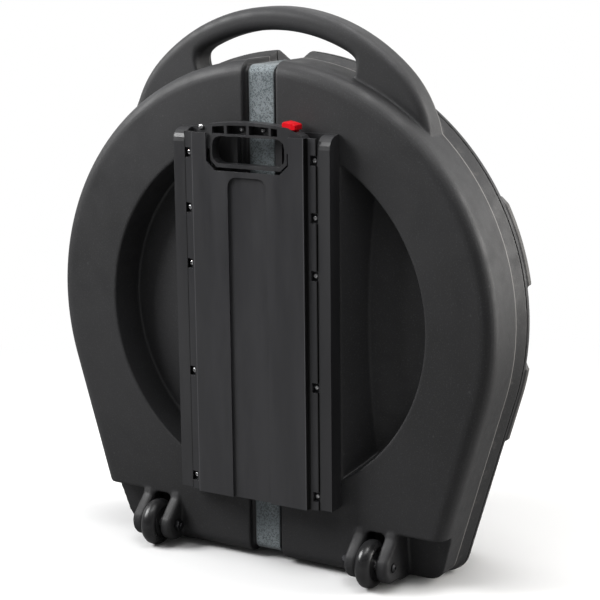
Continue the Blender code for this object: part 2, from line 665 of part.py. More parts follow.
def wheel(side, name, looks):
    """Tyre, hub and two bearings, whose inner rings reach out to the cheeks."""
    x = side * WHEEL_X
    tread = [(19.3, 10.2), (24, 11), (28.6, 9.4), (31.2, 6), (32, 0)]
    profile = [(r * MM, -w * MM) for r, w in tread] + [(r * MM, w * MM) for r, w in reversed(tread[:-1])]
    tyre = turned_x(name + "_tyre", profile, x, 28, ring=True)
    hub_half = [(19, 10.2), (11.3, 10.2), (11.3, 3.8), (9, 3.8)]
    profile = [(r * MM, w * MM) for r, w in hub_half] + [(r * MM, -w * MM) for r, w in reversed(hub_half)]
    made = [finish(tyre, looks["tyre"], True),
            finish(turned_x(name + "_hub", profile, x, 20, ring=True), looks["hub"], True)]
    bore, reach = BOLT_R + GAP, WELL_HALF - GAP
    for end, place in ((-side, "inner"), (side, "outer")):
        profile = [(BEARING_R, 4.1 * MM), (BEARING_R, 10.2 * MM), (6.5 * MM, 10.2 * MM), (6.5 * MM, reach),
                   (bore, reach), (bore, 4.1 * MM)]
        profile = [(r, end * w) for r, w in profile]
        bearing = turned_x(name + "_bearing_" + place, profile, x, 16, ring=True)
        made.append(finish(bearing, looks["steel"], True))
    return made


def axle(side, label, look):
    """Shoulder bolt through both cheeks of a pod, and its nut on the inner side."""
    x = side * WHEEL_X
    out, back = side * (POD_HALF + GAP), -side * (POD_HALF + 9 * MM)
    profile = [(3.5 * MM, out + side * 3.2 * MM), (6 * MM, out + side * 1.8 * MM), (6 * MM, out),
               (BOLT_R, out), (BOLT_R, back)]
    bolt = turned_x("axle_bolt_" + label, profile, x, 16)
    socket = [(2.2 * MM, out + side * 1.5 * MM), (2.2 * MM, out + side * 5 * MM)]
    finish(cut(bolt, turned_x("socket", socket, x, 6)), look, True)
    ends = (-side * (POD_HALF + GAP), -side * (POD_HALF + 6.5 * MM))
    nut = turned_x("axle_nut_" + label, [(7.5 * MM, e) for e in ends], x, 6)
    bore = [(BOLT_R + GAP, -side * POD_HALF), (BOLT_R + GAP, -side * (POD_HALF + 8 * MM))]
    finish(cut(nut, turned_x("bore", bore, x, 12)), look, True)


def foam_liner(name, depths, wall_offset, thick, channel, look):
    """Strip of foam along the side wall, thinner where it passes the groove's channel."""
    outer = -WALL - MM
    ring = loft(name, [shell_ring(wall_offset(d) + outer, d) for d in depths])
    ends = (depths[0] - MM, depths[1] + MM)
    cut(ring, loft("inside", [shell_ring(wall_offset(d) + outer - thick, d) for d in ends]))
    return finish(cut(ring, strap_channel("clear", GROOVE_HALF + WALL + MM, *channel, WALL + MM)), look)


def base_foam(look):
    """Foam round the dish, a block behind the housing, the slab the cymbals lie on, and a liner."""
    depths = (19 * MM, SLAB_DEPTH[0] - 0.5 * MM)
    filler = loft("base_foam_filler", [shell_ring(-WALL - MM, d) for d in depths])
    cut_hole(filler, 246 * MM, 0, 60 * MM, 0, DISH_Z, 48)
    clear = GROOVE_HALF + WALL + MM
    for zs in ((-20 * MM, GROOVE_BOTTOM + WALL + 2 * MM), (GROOVE_TOP - WALL - 2 * MM, 720 * MM)):
        cut(filler, box("clear", (-clear, clear), (0, 70 * MM), zs))
    cut(filler, wells("clear", WALL + MM, 0), corner_step("clear", 194 * MM, WALL + MM))
    core = box("base_foam_core", (-108 * MM, 108 * MM), depths, (140 * MM, 540 * MM))
    cut_hole(core, 33 * MM, 0, 60 * MM, 0, SHELL_Z, 20)
    slab = turned_depth("base_foam_slab", [(312 * MM, d) for d in SLAB_DEPTH], 0, SHELL_Z, 48)
    cut_hole(slab, POST_R + 2 * MM, 40 * MM, 70 * MM, 0, SHELL_Z, 16)
    for made in (filler, core, slab):
        finish(made, look)
    depths = (SLAB_DEPTH[1] + 0.5 * MM, 87 * MM)
    foam_liner("base_edge_foam", depths, lambda d: 0.0, LINER_T, (130 * MM, GROOVE_DEPTH), look)


def lid_foam(look):
    """Slab inside the lid, channelled for the strap's groove and the buckle's pocket, and a liner."""
    slab = turned_depth("lid_foam_slab", [(LID_SLAB_R, d) for d in LID_SLAB_DEPTH], 0, SHELL_Z, 48)
    floor = (LID_GROOVE - WALL - MM, 200 * MM)
    clear = GROOVE_HALF + WALL + MM
    cut(slab, box("clear", (-clear, clear), floor, (0, 700 * MM)))
    clear = POCKET_HALF + WALL + MM
    cut(slab, box("clear", (-clear, clear), floor, (POCKET_Z[0] - WALL - MM, POCKET_Z[1] + WALL + MM)))
    depths = (110 * MM, LID_SLAB_DEPTH[0] - 0.5 * MM)
    liner = foam_liner("lid_edge_foam", depths, lid_offset, LID_LINER_T, (30 * MM, LID_GROOVE), look)
    return [finish(slab, look), liner]


def centre_post(looks):
    """Flanged post on the base, with felts above and below the cymbals and a washer on top."""
    start = GROOVE_DEPTH + WALL + GAP
    profile = [(29 * MM, start), (29 * MM, start + 3 * MM), (POST_R, start + 6 * MM),
               (POST_R, POST_END - 2 * MM), (POST_R - MM, POST_END)]
    finish(turned_depth("centre_post", profile, 0, SHELL_Z, 20), looks["nylon"], True)
    bore = POST_R + GAP
    for name, r, ends, look in (("felt_washer_lower", 25 * MM, (SLAB_DEPTH[1] + GAP, 67 * MM), "felt"),
                                ("felt_washer_upper", 25 * MM, (112 * MM, 117 * MM), "felt"),
                                ("post_washer", 21 * MM, (117.3 * MM, 119 * MM), "steel")):
        profile = [(bore, ends[0]), (r, ends[0]), (r, ends[1]), (bore, ends[1])]
        finish(turned_depth(name, profile, 0, SHELL_Z, 20, ring=True), looks[look], True)


def hold_down_knob(looks):
    """Lobed knob with a brass insert, screwed on the post."""
    lobes, steps = 6, 36
    outline = []
    for i in range(steps):
        turn = 2 * pi * i / steps
        r = 21 * MM + 2 * MM * cos(lobes * turn)
        outline.append((r * cos(turn), SHELL_Z + r * sin(turn)))
    knob = prism_depth("hold_down_knob", outline, *KNOB_DEPTH)
    cut_hole(knob, 9.3 * MM, KNOB_DEPTH[0] - MM, KNOB_DEPTH[1] + MM, 0, SHELL_Z, 16)
    ends = (KNOB_DEPTH[0] + MM, KNOB_DEPTH[1] - MM)
    bore = POST_R + GAP
    profile = [(bore, ends[0]), (9 * MM, ends[0]), (9 * MM, ends[1]), (bore, ends[1])]
    insert = turned_depth("knob_insert", profile, 0, SHELL_Z, 16, ring=True)
    return [finish(knob, looks["plastic"], True), finish(insert, looks["brass"], True)]


def buckle(look):
    """Receiver, tongue and press release on the lid's strap."""
    seat = LID_GROOVE + GAP + STRAP_T + GAP
    front = seat + 11 * MM
    through = (seat - 5 * MM, front + 5 * MM)
    body = box("buckle_body", (-27 * MM, 27 * MM), (seat, front), (462 * MM, 512 * MM))
    cut(body, box("mouth", (-21 * MM, 21 * MM), (seat + 2.2 * MM, front - 2.2 * MM), (489 * MM, 520 * MM)))
    cut(body, box("bar_gap", (-20 * MM, 20 * MM), through, (466 * MM, 472 * MM)))
    cut(body, box("well", (-9.3 * MM, 9.3 * MM), (front - 4.5 * MM, front + 5 * MM), (475 * MM, 487 * MM)))
    tongue = box("buckle_tongue", (-20.5 * MM, 20.5 * MM), (seat + 2.5 * MM, front - 2.5 * MM),
                 (491 * MM, 545 * MM))
    cut(tongue, box("bar_gap", (-17 * MM, 17 * MM), through, (531 * MM, 539 * MM)))
    cut(tongue, box("between", (-11 * MM, 11 * MM), through, (480 * MM, 508 * MM)))
    press = box("buckle_release", (-9 * MM, 9 * MM), (front - 1.9 * MM, front + 1.2 * MM),
                (475.3 * MM, 486.7 * MM))
    return [finish(made, look) for made in (body, tongue, press)]


def hang_on(name, place, members):
    """Parent pieces that move together to an empty on their joint's axis."""
    carrier = bpy.data.objects.new(name, None)
    carrier.location = place
    bpy.context.scene.collection.objects.link(carrier)
    for member in members:
        member.data.transform(Matrix.Translation(-place))
        member.parent = carrier


def pull_handle(looks):
    pieces = [handle_grip(looks["plastic"]), grip_back(looks["plastic"]), button_spring(looks["steel"])]
    for side, label in SIDES:
        xs = (side * LEG_X[0], side * LEG_X[1])
        leg = box("handle_leg_" + label, xs, LEG_DEPTH, (LEG_LOW, SHOULDER_Z - GAP))
        screw = pan_screw("grip_screw_" + label, side * 16 * MM, 586 * MM, GRIP_BACK - 3 * MM,
                          3.4 * MM, 5 * MM, looks["steel"])
        pieces += [finish(leg, looks["leg"]), screw]
    bar = box("handle_crossbar", (GAP - LEG_X[1], LEG_X[1] - GAP), (-25.6 * MM, LEG_DEPTH[0] - GAP), CROSSBAR_Z)
    pieces.append(finish(bar, looks["plastic"]))
    hang_on("pull_handle_axis", point(0, LEG_DEPTH[0], SHOULDER_Z), pieces)
    hang_on("release_button_axis", point(59.5 * MM, -17 * MM, BUTTON_Z[0]), [release_button(looks["red"])])
    bolt = box("latch_bolt", (70 * MM, 79.9 * MM), (-18 * MM, -14 * MM), (568 * MM, 574 * MM))
    hang_on("latch_bolt_axis", point(76 * MM, -16 * MM, 571 * MM), [finish(bolt, looks["steel"])])


def build():
    for old in list(bpy.data.objects):
        bpy.data.objects.remove(old)
    looks = {
        "shell": material("moulded_shell", (0.035, 0.036, 0.038), 0.62),
        "plastic": material("satin_plastic", (0.045, 0.046, 0.05), 0.4),
        "webbing": material("grey_webbing", (0.18, 0.19, 0.2), 0.85),
        "foam": material("charcoal_foam", (0.02, 0.02, 0.022), 0.95),
        "steel": material("zinc_steel", (0.75, 0.75, 0.76), 0.3, 1.0),
        "brass": material("brass", (0.78, 0.6, 0.3), 0.3, 1.0),
        "nylon": material("nylon", (0.7, 0.7, 0.68), 0.5),
        "felt": material("grey_felt", (0.25, 0.25, 0.26), 0.98),
        "tyre": material("wheel_tyre", (0.03, 0.03, 0.033), 0.3),
        "hub": material("wheel_hub", (0.06, 0.06, 0.065), 0.45),
        "leg": material("leg_extrusion", (0.6, 0.6, 0.62), 0.35, 1.0),
        "red": material("red_button", (0.6, 0.01, 0.03), 0.35),
    }
    base_shell(looks["shell"])
    finish(strap_band("strap_back", BASE_DEPTH - GAP, GROOVE_DEPTH), looks["webbing"])
    base_foam(looks["foam"])
    centre_post(looks)
    trolley_housing(looks["plastic"])
    cover_panel(looks["plastic"])
    for i, (x, z) in enumerate(screw_places(), 1):
        pan_screw("cover_screw_%d" % i, x, z, CUP_FLOOR, 3.5 * MM, 11 * MM, looks["steel"])
    for i, (x, z) in enumerate(rivet_places(), 1):
        rivet("housing_rivet_%d" % i, x, z, looks["steel"])
    for side, label in SIDES:
        xs = (side * LEG_X[0], side * (LEG_X[1] - 2 * MM))
        block = box("handle_guide_" + label, xs, (COVER_FRONT + COVER_T + GAP, LEG_DEPTH[0] - 0.4 * MM), GUIDE_Z)
        finish(block, looks["nylon"])
        axle(side, label, looks["steel"])
        name = "wheel_" + label
        hang_on(name + "_axis", point(side * WHEEL_X, WHEEL_DEPTH, WHEEL_R), wheel(side, name, looks))

    body, tongue, press = buckle(looks["plastic"])
    lid = [lid_shell(looks["shell"]), body] + lid_foam(looks["foam"])
    lid.append(front_strap("strap_front_upper", (-50 * MM, 514 * MM), looks["webbing"]))
    lid.append(front_strap("strap_front_lower", (480 * MM, 800 * MM), looks["webbing"]))
    hang_on("lid_axis", point(0, LID_START, SHELL_Z), lid)
    hang_on("buckle_tongue_axis", point(0, 172 * MM, 520 * MM), [tongue])
    hang_on("buckle_release_axis", point(0, 175 * MM, 481 * MM), [press])
    pull_handle(looks)
    hang_on("knob_axis", point(0, KNOB_DEPTH[0], SHELL_Z), hold_down_knob(looks))


build()
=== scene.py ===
import json
from math import cos, pi, radians, sin, sqrt

import bmesh
import bpy
from mathutils import Matrix, Vector, noise


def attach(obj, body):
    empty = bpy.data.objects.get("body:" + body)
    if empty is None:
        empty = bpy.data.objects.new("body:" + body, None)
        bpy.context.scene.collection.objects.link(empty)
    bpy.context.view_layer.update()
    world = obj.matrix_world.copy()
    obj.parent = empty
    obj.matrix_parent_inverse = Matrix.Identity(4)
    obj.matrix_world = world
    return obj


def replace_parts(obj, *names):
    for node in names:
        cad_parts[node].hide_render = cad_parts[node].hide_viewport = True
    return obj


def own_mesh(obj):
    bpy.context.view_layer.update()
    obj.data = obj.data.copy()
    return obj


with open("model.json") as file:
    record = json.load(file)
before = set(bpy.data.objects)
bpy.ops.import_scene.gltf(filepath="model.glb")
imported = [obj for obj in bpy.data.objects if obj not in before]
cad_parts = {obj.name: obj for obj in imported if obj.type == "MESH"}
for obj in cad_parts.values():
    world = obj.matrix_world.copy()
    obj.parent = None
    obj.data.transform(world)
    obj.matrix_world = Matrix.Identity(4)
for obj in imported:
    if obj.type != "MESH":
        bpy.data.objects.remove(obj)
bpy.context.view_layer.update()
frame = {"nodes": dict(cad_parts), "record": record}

MM = 0.001
BACK_Y = -67 * MM
SIDES = (-1, 1)

# Depths at which the shells' colour changes: pale flash line, which also paints the highlight its ridge would
# catch, rub marks, painted shadow in the seam between base and lid, and pads.
FLASH_DEPTH, RUB_DEPTH, SEAM_DEPTH, PAD_START = 69 * MM, 71 * MM, 88.8 * MM, 96 * MM
FLASH_HALF, SEAM_SHADOW_HALF = 0.9 * MM, 1.7 * MM

# Lines on the cover panel where shade and a highlight are painted, as distances from its middle, and the
# depth just behind its front face.
COVER_RIM_X, COVER_FOOT_X, COVER_GAP_X, COVER_BEHIND = 83.1 * MM, 85.2 * MM, 97.1 * MM, -31.4 * MM

# One repeat of the weave, which is two threads.
WEAVE_PITCH = 2.2 * MM


def point(x, depth, z):
    """A place given by its depth from the back face towards the lid."""
    return Vector((x, BACK_Y + depth, z))


# Materials.

class Graph:
    """The nodes of a material or a world under construction. A value is a number or a socket."""

    def __init__(self, owner):
        self.made = owner
        self.made.use_nodes = True
        self.nodes, self.links = self.made.node_tree.nodes, self.made.node_tree.links

    def sums(self, operation, a, b=0.0):
        """One sum of two values."""
        step = self.nodes.new("ShaderNodeMath")
        step.operation = operation
        for socket, value in zip(step.inputs, (a, b)):
            if isinstance(value, (int, float)):
                socket.default_value = value
            else:
                self.links.new(value, socket)
        return step.outputs[0]

    def span(self, value, low, high, to_low=0.0, to_high=1.0):
        """Map a value from one range to another, smoothly and clamped."""
        step = self.nodes.new("ShaderNodeMapRange")
        step.interpolation_type = "SMOOTHSTEP"
        for name, number in (("From Min", low), ("From Max", high), ("To Min", to_low), ("To Max", to_high)):
            step.inputs[name].default_value = number
        self.links.new(value, step.inputs["Value"])
        return step.outputs["Result"]


class Surface(Graph):
    """A Principled material whose patterns follow the piece's own coordinates."""

    def __init__(self, name, roughness, metallic=0.0, specular=0.5):
        super().__init__(bpy.data.materials.new(name))
        self.shader = self.nodes["Principled BSDF"]
        self.shader.inputs["Roughness"].default_value = roughness
        self.shader.inputs["Metallic"].default_value = metallic
        self.shader.inputs["Specular IOR Level"].default_value = specular
        self.place = self.nodes.new("ShaderNodeTexCoord").outputs["Object"]

    def scaled(self, scale):
        """Coordinates stretched by three numbers."""
        step = self.nodes.new("ShaderNodeMapping")
        step.inputs["Scale"].default_value = scale
        self.links.new(self.place, step.inputs["Vector"])
        return step.outputs["Vector"]

    def grain(self, scale, detail=2.0, rough=0.5, stretch=(1, 1, 1)):
        """Noise, finer as the scale rises."""
        step = self.nodes.new("ShaderNodeTexNoise")
        step.inputs["Scale"].default_value = scale
        step.inputs["Detail"].default_value = detail
        step.inputs["Roughness"].default_value = rough
        self.links.new(self.scaled(stretch), step.inputs["Vector"])
        return step.outputs["Fac"]

    def cells(self, scale, smooth=True):
        """Distance from the middle of scattered cells."""
        step = self.nodes.new("ShaderNodeTexVoronoi")
        if smooth:
            step.feature = "SMOOTH_F1"
        step.inputs["Scale"].default_value = scale
        self.links.new(self.place, step.inputs["Vector"])
        return step.outputs["Distance"]

    def axis(self, letter):
        """One of the three coordinates."""
        step = self.nodes.new("ShaderNodeSeparateXYZ")
        self.links.new(self.place, step.inputs[0])
        return step.outputs[letter]

    def distance(self, letter, centre):
        """How far a point is from one value of an axis."""
        return self.sums("ABSOLUTE", self.sums("SUBTRACT", self.axis(letter), centre))

    def blend(self, factor, first, second):
        """Two colours, or sockets of colour, mixed by a factor."""
        step = self.nodes.new("ShaderNodeMix")
        step.data_type = "RGBA"
        self.links.new(factor, step.inputs["Factor"])
        for socket, value in ((step.inputs[6], first), (step.inputs[7], second)):
            if isinstance(value, tuple):
                socket.default_value = (*value, 1.0)
            else:
                self.links.new(value, socket)
        return step.outputs[2]

    def colour(self, socket):
        self.links.new(socket, self.shader.inputs["Base Color"])

    def roughness(self, socket):
        self.links.new(socket, self.shader.inputs["Roughness"])

    def relief(self, *layers):
        """Bump layers of (height socket, distance in metres, strength)."""
        normal = None
        for height, distance, strength in layers:
            step = self.nodes.new("ShaderNodeBump")
            step.inputs["Distance"].default_value = distance
            step.inputs["Strength"].default_value = strength
            self.links.new(height, step.inputs["Height"])
            if normal is not None:
                self.links.new(normal, step.inputs["Normal"])
            normal = step.outputs["Normal"]
        self.links.new(normal, self.shader.inputs["Normal"])


def moulded_look():
    """Rotation moulded polyethylene with leathery grain, faint clouding, rub marks, a pale flash line with a
    painted highlight, and painted shadow in the seam.
    """
    s = Surface("moulded_polyethylene", 0.5, specular=0.42)
    cloud = s.span(s.grain(5.0, 3.0), 0.35, 0.65)
    base = s.blend(cloud, (0.0185, 0.0185, 0.0195), (0.024, 0.024, 0.0255))
    fleck = s.span(s.grain(520.0, 1.0), 0.56, 0.72)
    base = s.blend(s.sums("MULTIPLY", fleck, 0.45), base, (0.05, 0.05, 0.053))
    near = s.span(s.distance("Y", BACK_Y + RUB_DEPTH), 0.001, 0.012, 1.0, 0.0)
    rub = s.span(s.grain(46.0, 4.0, 0.7), 0.5, 0.66)
    base = s.blend(s.sums("MULTIPLY", s.sums("MULTIPLY", near, rub), 0.5), base, (0.085, 0.082, 0.078))
    specks = s.span(s.cells(24.0, smooth=False), 0.03, 0.045, 1.0, 0.0)
    base = s.blend(s.sums("MULTIPLY", specks, 0.25), base, (0.09, 0.09, 0.09))

    def band(depth, half, colour, strength):
        """A line all round the case at one depth."""
        line = s.span(s.distance("Y", BACK_Y + depth), half * 0.5, half, 1.0, 0.0)
        return s.blend(s.sums("MULTIPLY", line, strength), base, colour)

    # The pale flash line is partly painted highlight: it stands for the parting-line ridge and the light that
    # ridge would catch.
    base = band(FLASH_DEPTH, FLASH_HALF, (0.27, 0.26, 0.25), 0.75)
    # Painted shadow: the seam between base and lid is drawn near-black, where the base's rim shades the gap.
    base = band(SEAM_DEPTH, SEAM_SHADOW_HALF, (0.003, 0.003, 0.003), 1.0)
    pad = s.nodes.new("ShaderNodeAttribute")
    pad.attribute_name = "pad"
    behind = s.span(s.axis("Y"), BACK_Y + PAD_START - 0.5 * MM, BACK_Y + PAD_START + 0.5 * MM)
    base = s.blend(s.sums("MULTIPLY", pad.outputs["Fac"], behind), base, (0.08, 0.077, 0.074))
    s.colour(base)
    s.roughness(s.span(s.grain(38.0, 3.0), 0.3, 0.7, 0.5, 0.62))
    s.relief((s.grain(22.0, 2.0), 0.0012, 0.18), (s.grain(620.0, 2.0, 0.6), 0.0005, 0.32))
    return s.made


def cover_painted_shade_and_highlight(s, base):
    """Painted shade in the gaps beside the cover's flanges and raised part, and a painted highlight along its
    front edges.
    """
    x = s.sums("ABSOLUTE", s.axis("X"))
    behind = s.span(s.sums("SUBTRACT", s.axis("Y"), BACK_Y), COVER_BEHIND, COVER_BEHIND + 0.8 * MM)

    def off(line):
        """How far a point is from a line up the cover, on either side."""
        return s.sums("ABSOLUTE", s.sums("SUBTRACT", x, line))

    # Painted shade where the raised part meets its flanges, and beyond the flanges' outer edges.
    foot = s.span(off(COVER_FOOT_X), 1.5 * MM, 2.2 * MM, 1.0, 0.0)
    side = s.span(x, COVER_GAP_X, COVER_GAP_X + 0.5 * MM)
    painted_gap_shade = s.sums("MAXIMUM", s.sums("MULTIPLY", foot, behind), side)
    base = s.blend(painted_gap_shade, base, (0.002, 0.002, 0.002))
    # Painted highlight along the front edges of the cover's raised part.
    rim = s.span(off(COVER_RIM_X), 0.4 * MM, 0.9 * MM, 0.6, 0.0)
    return s.blend(s.sums("MULTIPLY", rim, s.sums("SUBTRACT", 1.0, behind)), base, (0.1, 0.1, 0.105))


def plastic_look(name, dark, pale, rough, painted_light=None):
    """Injection moulded plastic with a fine satin grain and wiping marks, and painted light and shade where a
    function for it is given.
    """
    s = Surface(name, rough, specular=0.45)
    wipe = s.span(s.grain(9.0, 4.0, 0.6, (3.0, 3.0, 0.5)), 0.35, 0.7)
    base = s.blend(wipe, dark, pale)
    s.colour(painted_light(s, base) if painted_light else base)
    s.roughness(s.span(s.grain(16.0, 5.0, 0.65, (2.0, 2.0, 0.35)), 0.3, 0.7, rough - 0.07, rough + 0.09))
    scratch = s.span(s.grain(60.0, 2.0, 0.5, (9.0, 9.0, 0.35)), 0.62, 0.7)
    s.relief((s.grain(1500.0, 1.0), 0.00012, 0.2), (scratch, 0.00005, 0.25))
    return s.made


def metal_look(name, colour, rough, stretch=(1, 1, 1)):
    """Plated or turned metal with dull patches and faint tool marks."""
    s = Surface(name, rough, metallic=1.0)
    dull = tuple(0.72 * c for c in colour)
    s.colour(s.blend(s.span(s.grain(160.0, 3.0), 0.35, 0.7), colour, dull))
    s.roughness(s.span(s.grain(90.0, 4.0, 0.6, stretch), 0.3, 0.7, rough - 0.06, rough + 0.12))
    s.relief((s.grain(500.0, 2.0, 0.5, stretch), 0.0001, 0.15))
    return s.made


def soft_look(name, dark, pale, scale, height, fuzz=0.25):
    """Foam or felt, with its cells or fibres and a soft sheen."""
    s = Surface(name, 0.95, specular=0.15)
    s.shader.inputs["Sheen Weight"].default_value = fuzz
    s.shader.inputs["Sheen Roughness"].default_value = 0.6
    mottle = s.span(s.grain(14.0, 3.0), 0.3, 0.7)
    pores = s.span(s.cells(scale), 0.1, 0.55)
    s.colour(s.blend(s.sums("MULTIPLY", mottle, pores), dark, pale))
    s.relief((s.grain(35.0, 2.0), 0.001, 0.2), (s.cells(scale), height, 0.5))
    return s.made


def webbing_look():
    """Plain woven webbing. Each piece carries its distance along and across as attributes."""
    s = Surface("woven_webbing", 0.78, specular=0.25)
    s.shader.inputs["Sheen Weight"].default_value = 0.2

    def attribute(name):
        step = s.nodes.new("ShaderNodeAttribute")
        step.attribute_name = name
        return step.outputs["Fac"]

    along, across = attribute("along"), attribute("across")
    thread = 2 * pi / WEAVE_PITCH
    rows = s.sums("SINE", s.sums("MULTIPLY", along, thread))
    columns = s.sums("SINE", s.sums("MULTIPLY", across, thread * 0.9))
    weave = s.span(s.sums("MULTIPLY", rows, columns), -0.8, 0.8)
    worn = s.span(s.grain(42.0, 5.0, 0.7), 0.36, 0.66)
    base = s.blend(weave, (0.11, 0.13, 0.14), (0.25, 0.285, 0.3))
    base = s.blend(s.sums("MULTIPLY", worn, 0.5), base, (0.33, 0.37, 0.385))
    speckle = s.span(s.grain(420.0, 2.0, 0.7), 0.47, 0.6)
    base = s.blend(s.sums("MULTIPLY", speckle, 0.7), base, (0.05, 0.062, 0.067))
    selvedge = s.span(s.sums("ABSOLUTE", across), 0.0165, 0.0178)
    base = s.blend(s.sums("MULTIPLY", selvedge, 0.6), base, (0.12, 0.135, 0.142))
    s.colour(base)
    s.relief((weave, 0.0004, 0.6), (s.grain(900.0, 2.0), 0.0002, 0.3))
    return s.made


def tyre_look():
    """Smooth, slightly glossy wheel tread."""
    s = Surface("wheel_tyre_black", 0.24, specular=0.55)
    s.colour(s.blend(s.span(s.grain(60.0, 3.0), 0.35, 0.7), (0.012, 0.012, 0.013), (0.022, 0.022, 0.023)))
    s.roughness(s.span(s.grain(30.0, 2.0), 0.35, 0.7, 0.27, 0.36))
    s.relief((s.grain(260.0, 2.0), 0.0001, 0.06))
    return s.made


looks = {
    "moulded_shell": moulded_look(),
    "satin_plastic": plastic_look("satin_plastic_black", (0.026, 0.026, 0.028), (0.034, 0.034, 0.036), 0.36),
    # The cover's plastic carries painted shade in its gaps and a painted highlight along its front edges.
    "cover_plastic": plastic_look("cover_plastic_black", (0.027, 0.027, 0.0295), (0.037, 0.037, 0.04), 0.36,
                                  painted_light=cover_painted_shade_and_highlight),
    "grey_webbing": webbing_look(),
    "charcoal_foam": soft_look("charcoal_foam_cells", (0.012, 0.012, 0.013), (0.04, 0.04, 0.043),
                               520.0, 0.0006),
    "zinc_steel": metal_look("zinc_plate", (0.72, 0.72, 0.73), 0.24),
    # Near-black metal for the axle ends, far darker than the zinc plate.
    "dulled_zinc": metal_look("dulled_zinc", (0.05, 0.05, 0.053), 0.5),
    "brass": metal_look("turned_brass", (0.76, 0.55, 0.25), 0.28),
    "nylon": plastic_look("natural_nylon", (0.6, 0.6, 0.57), (0.68, 0.68, 0.66), 0.45),
    "grey_felt": soft_look("pressed_felt", (0.14, 0.14, 0.145), (0.3, 0.3, 0.31), 900.0, 0.0007, 0.5),
    "wheel_tyre": tyre_look(),
    "wheel_hub": plastic_look("hub_plastic", (0.02, 0.02, 0.021), (0.03, 0.03, 0.031), 0.4),
    "leg_extrusion": metal_look("satin_extrusion", (0.6, 0.6, 0.62), 0.32, (1.6, 1.6, 0.1)),
    "red_button": plastic_look("red_gloss", (0.7, 0.002, 0.009), (0.8, 0.004, 0.014), 0.3),
}
slot_of = {entry["node"]: entry["material_slot"] for entry in frame["record"]["subparts"]}


# Mesh building.

def arc(cx, cz, r, start, end, steps):
    """Points along an arc, both ends included."""
    turns = [start + (end - start) * i / steps for i in range(steps + 1)]
    return [(cx + r * cos(a), cz + r * sin(a)) for a in turns]


def add_mesh(name, bm):
    """A new object from a bmesh, with its faces pointing out."""
    bmesh.ops.recalc_face_normals(bm, faces=bm.faces)
    mesh = bpy.data.meshes.new(name)
    bm.to_mesh(mesh)
    bm.free()
    made = bpy.data.objects.new(name, mesh)
    bpy.context.scene.collection.objects.link(made)
    return made


def loft(name, rings, closed=False):
    """A skin through rings of points, capped at both ends or closed into a loop."""
    bm = bmesh.new()
    rows = [[bm.verts.new(p) for p in ring] for ring in rings]
    pairs = list(zip(rows, rows[1:]))
    if closed:
        pairs.append((rows[-1], rows[0]))
    for low, high in pairs:
        for i in range(len(low)):
            j = (i + 1) % len(low)
            bm.faces.new((low[i], low[j], high[j], high[i]))
    if not closed:
        bm.faces.new(rows[0])
        bm.faces.new(rows[-1])
    return add_mesh(name, bm)


def prism_x(name, outline, x0, x1):
    """An outline of depth and z, drawn out along x."""
    return loft(name, [[point(x, d, z) for d, z in outline] for x in (x0, x1)])


def prism_z(name, outline, z0, z1):
    """An outline of x and depth, drawn out along z."""
    return loft(name, [[point(x, d, z) for x, d in outline] for z in (z0, z1)])


def prism_depth(name, outline, d0, d1):
    """An outline of x and z, drawn out along the depth."""
    return loft(name, [[point(x, d, z) for x, z in outline] for d in (d0, d1)])


def box(name, xs, depths, zs):
    """A block between two values of x, depth and z."""
    (x0, x1), (d0, d1) = sorted(xs), depths
    return prism_z(name, [(x0, d0), (x1, d0), (x1, d1), (x0, d1)], zs[0], zs[1])


def turned_depth(name, profile, x, z, steps):
    """A profile of radius and depth, turned about a line along the depth."""
    rings = []
    for r, d in profile:
        rings.append([point(px, d, pz) for px, pz in arc(x, z, r, 0, 2 * pi, steps)[:-1]])
    return loft(name, rings)


def turned_x(name, profile, x, depth, z, steps, closed=False):
    """A profile of radius and x, turned about a line along x."""
    rings = []
    for r, dx in profile:
        rings.append([point(x + dx, d, pz) for d, pz in arc(depth, z, r, 0, 2 * pi, steps)[:-1]])
    return loft(name, rings, closed)


def applied(made):
    """The object's modifiers turned into its mesh."""
    graph = bpy.context.evaluated_depsgraph_get()
    mesh = bpy.data.meshes.new_from_object(made.evaluated_get(graph))
    made.modifiers.clear()
    made.data = mesh
    return made


def combine(target, other, operation):
    """A Boolean with another object, which is used up."""
    step = target.modifiers.new("step", "BOOLEAN")
    step.operation = operation
    step.solver = "EXACT"
    step.object = other
    applied(target)
    bpy.data.objects.remove(other)
    return target


def cut(target, *others):
    for other in others:
        combine(target, other, "DIFFERENCE")
    return target


def fuse(target, *others):
    for other in others:
        combine(target, other, "UNION")
    return target


def gather(name, made):
    """Separate pieces joined into one object, with no union."""
    bm = bmesh.new()
    for piece in made:
        bm.from_mesh(piece.data)
        bpy.data.objects.remove(piece)
    return add_mesh(name, bm)


def weld(made):
    """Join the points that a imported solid's faces share."""
    step = made.modifiers.new("joined", "WELD")
    step.merge_threshold = 0.02 * MM


def softened(made, voxel, rounds, keep):
    """Remesh, round every edge and fill every inner corner a little, then thin the mesh."""
    step = made.modifiers.new("voxels", "REMESH")
    step.mode = "VOXEL"
    step.voxel_size = voxel
    step = made.modifiers.new("round", "SMOOTH")
    step.factor = 0.5
    step.iterations = rounds
    if keep < 1:
        step = made.modifiers.new("thin", "DECIMATE")
        step.ratio = keep
    applied(made)
    made.data.shade_smooth()
    return made


def dress(made, slot, body):
    """Gives a new piece its material, its slot and the body it rides on."""
    made.data.materials.clear()
    made.data.materials.append(looks[slot])
    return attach(made, body)


# The two shells, finer than the solids.

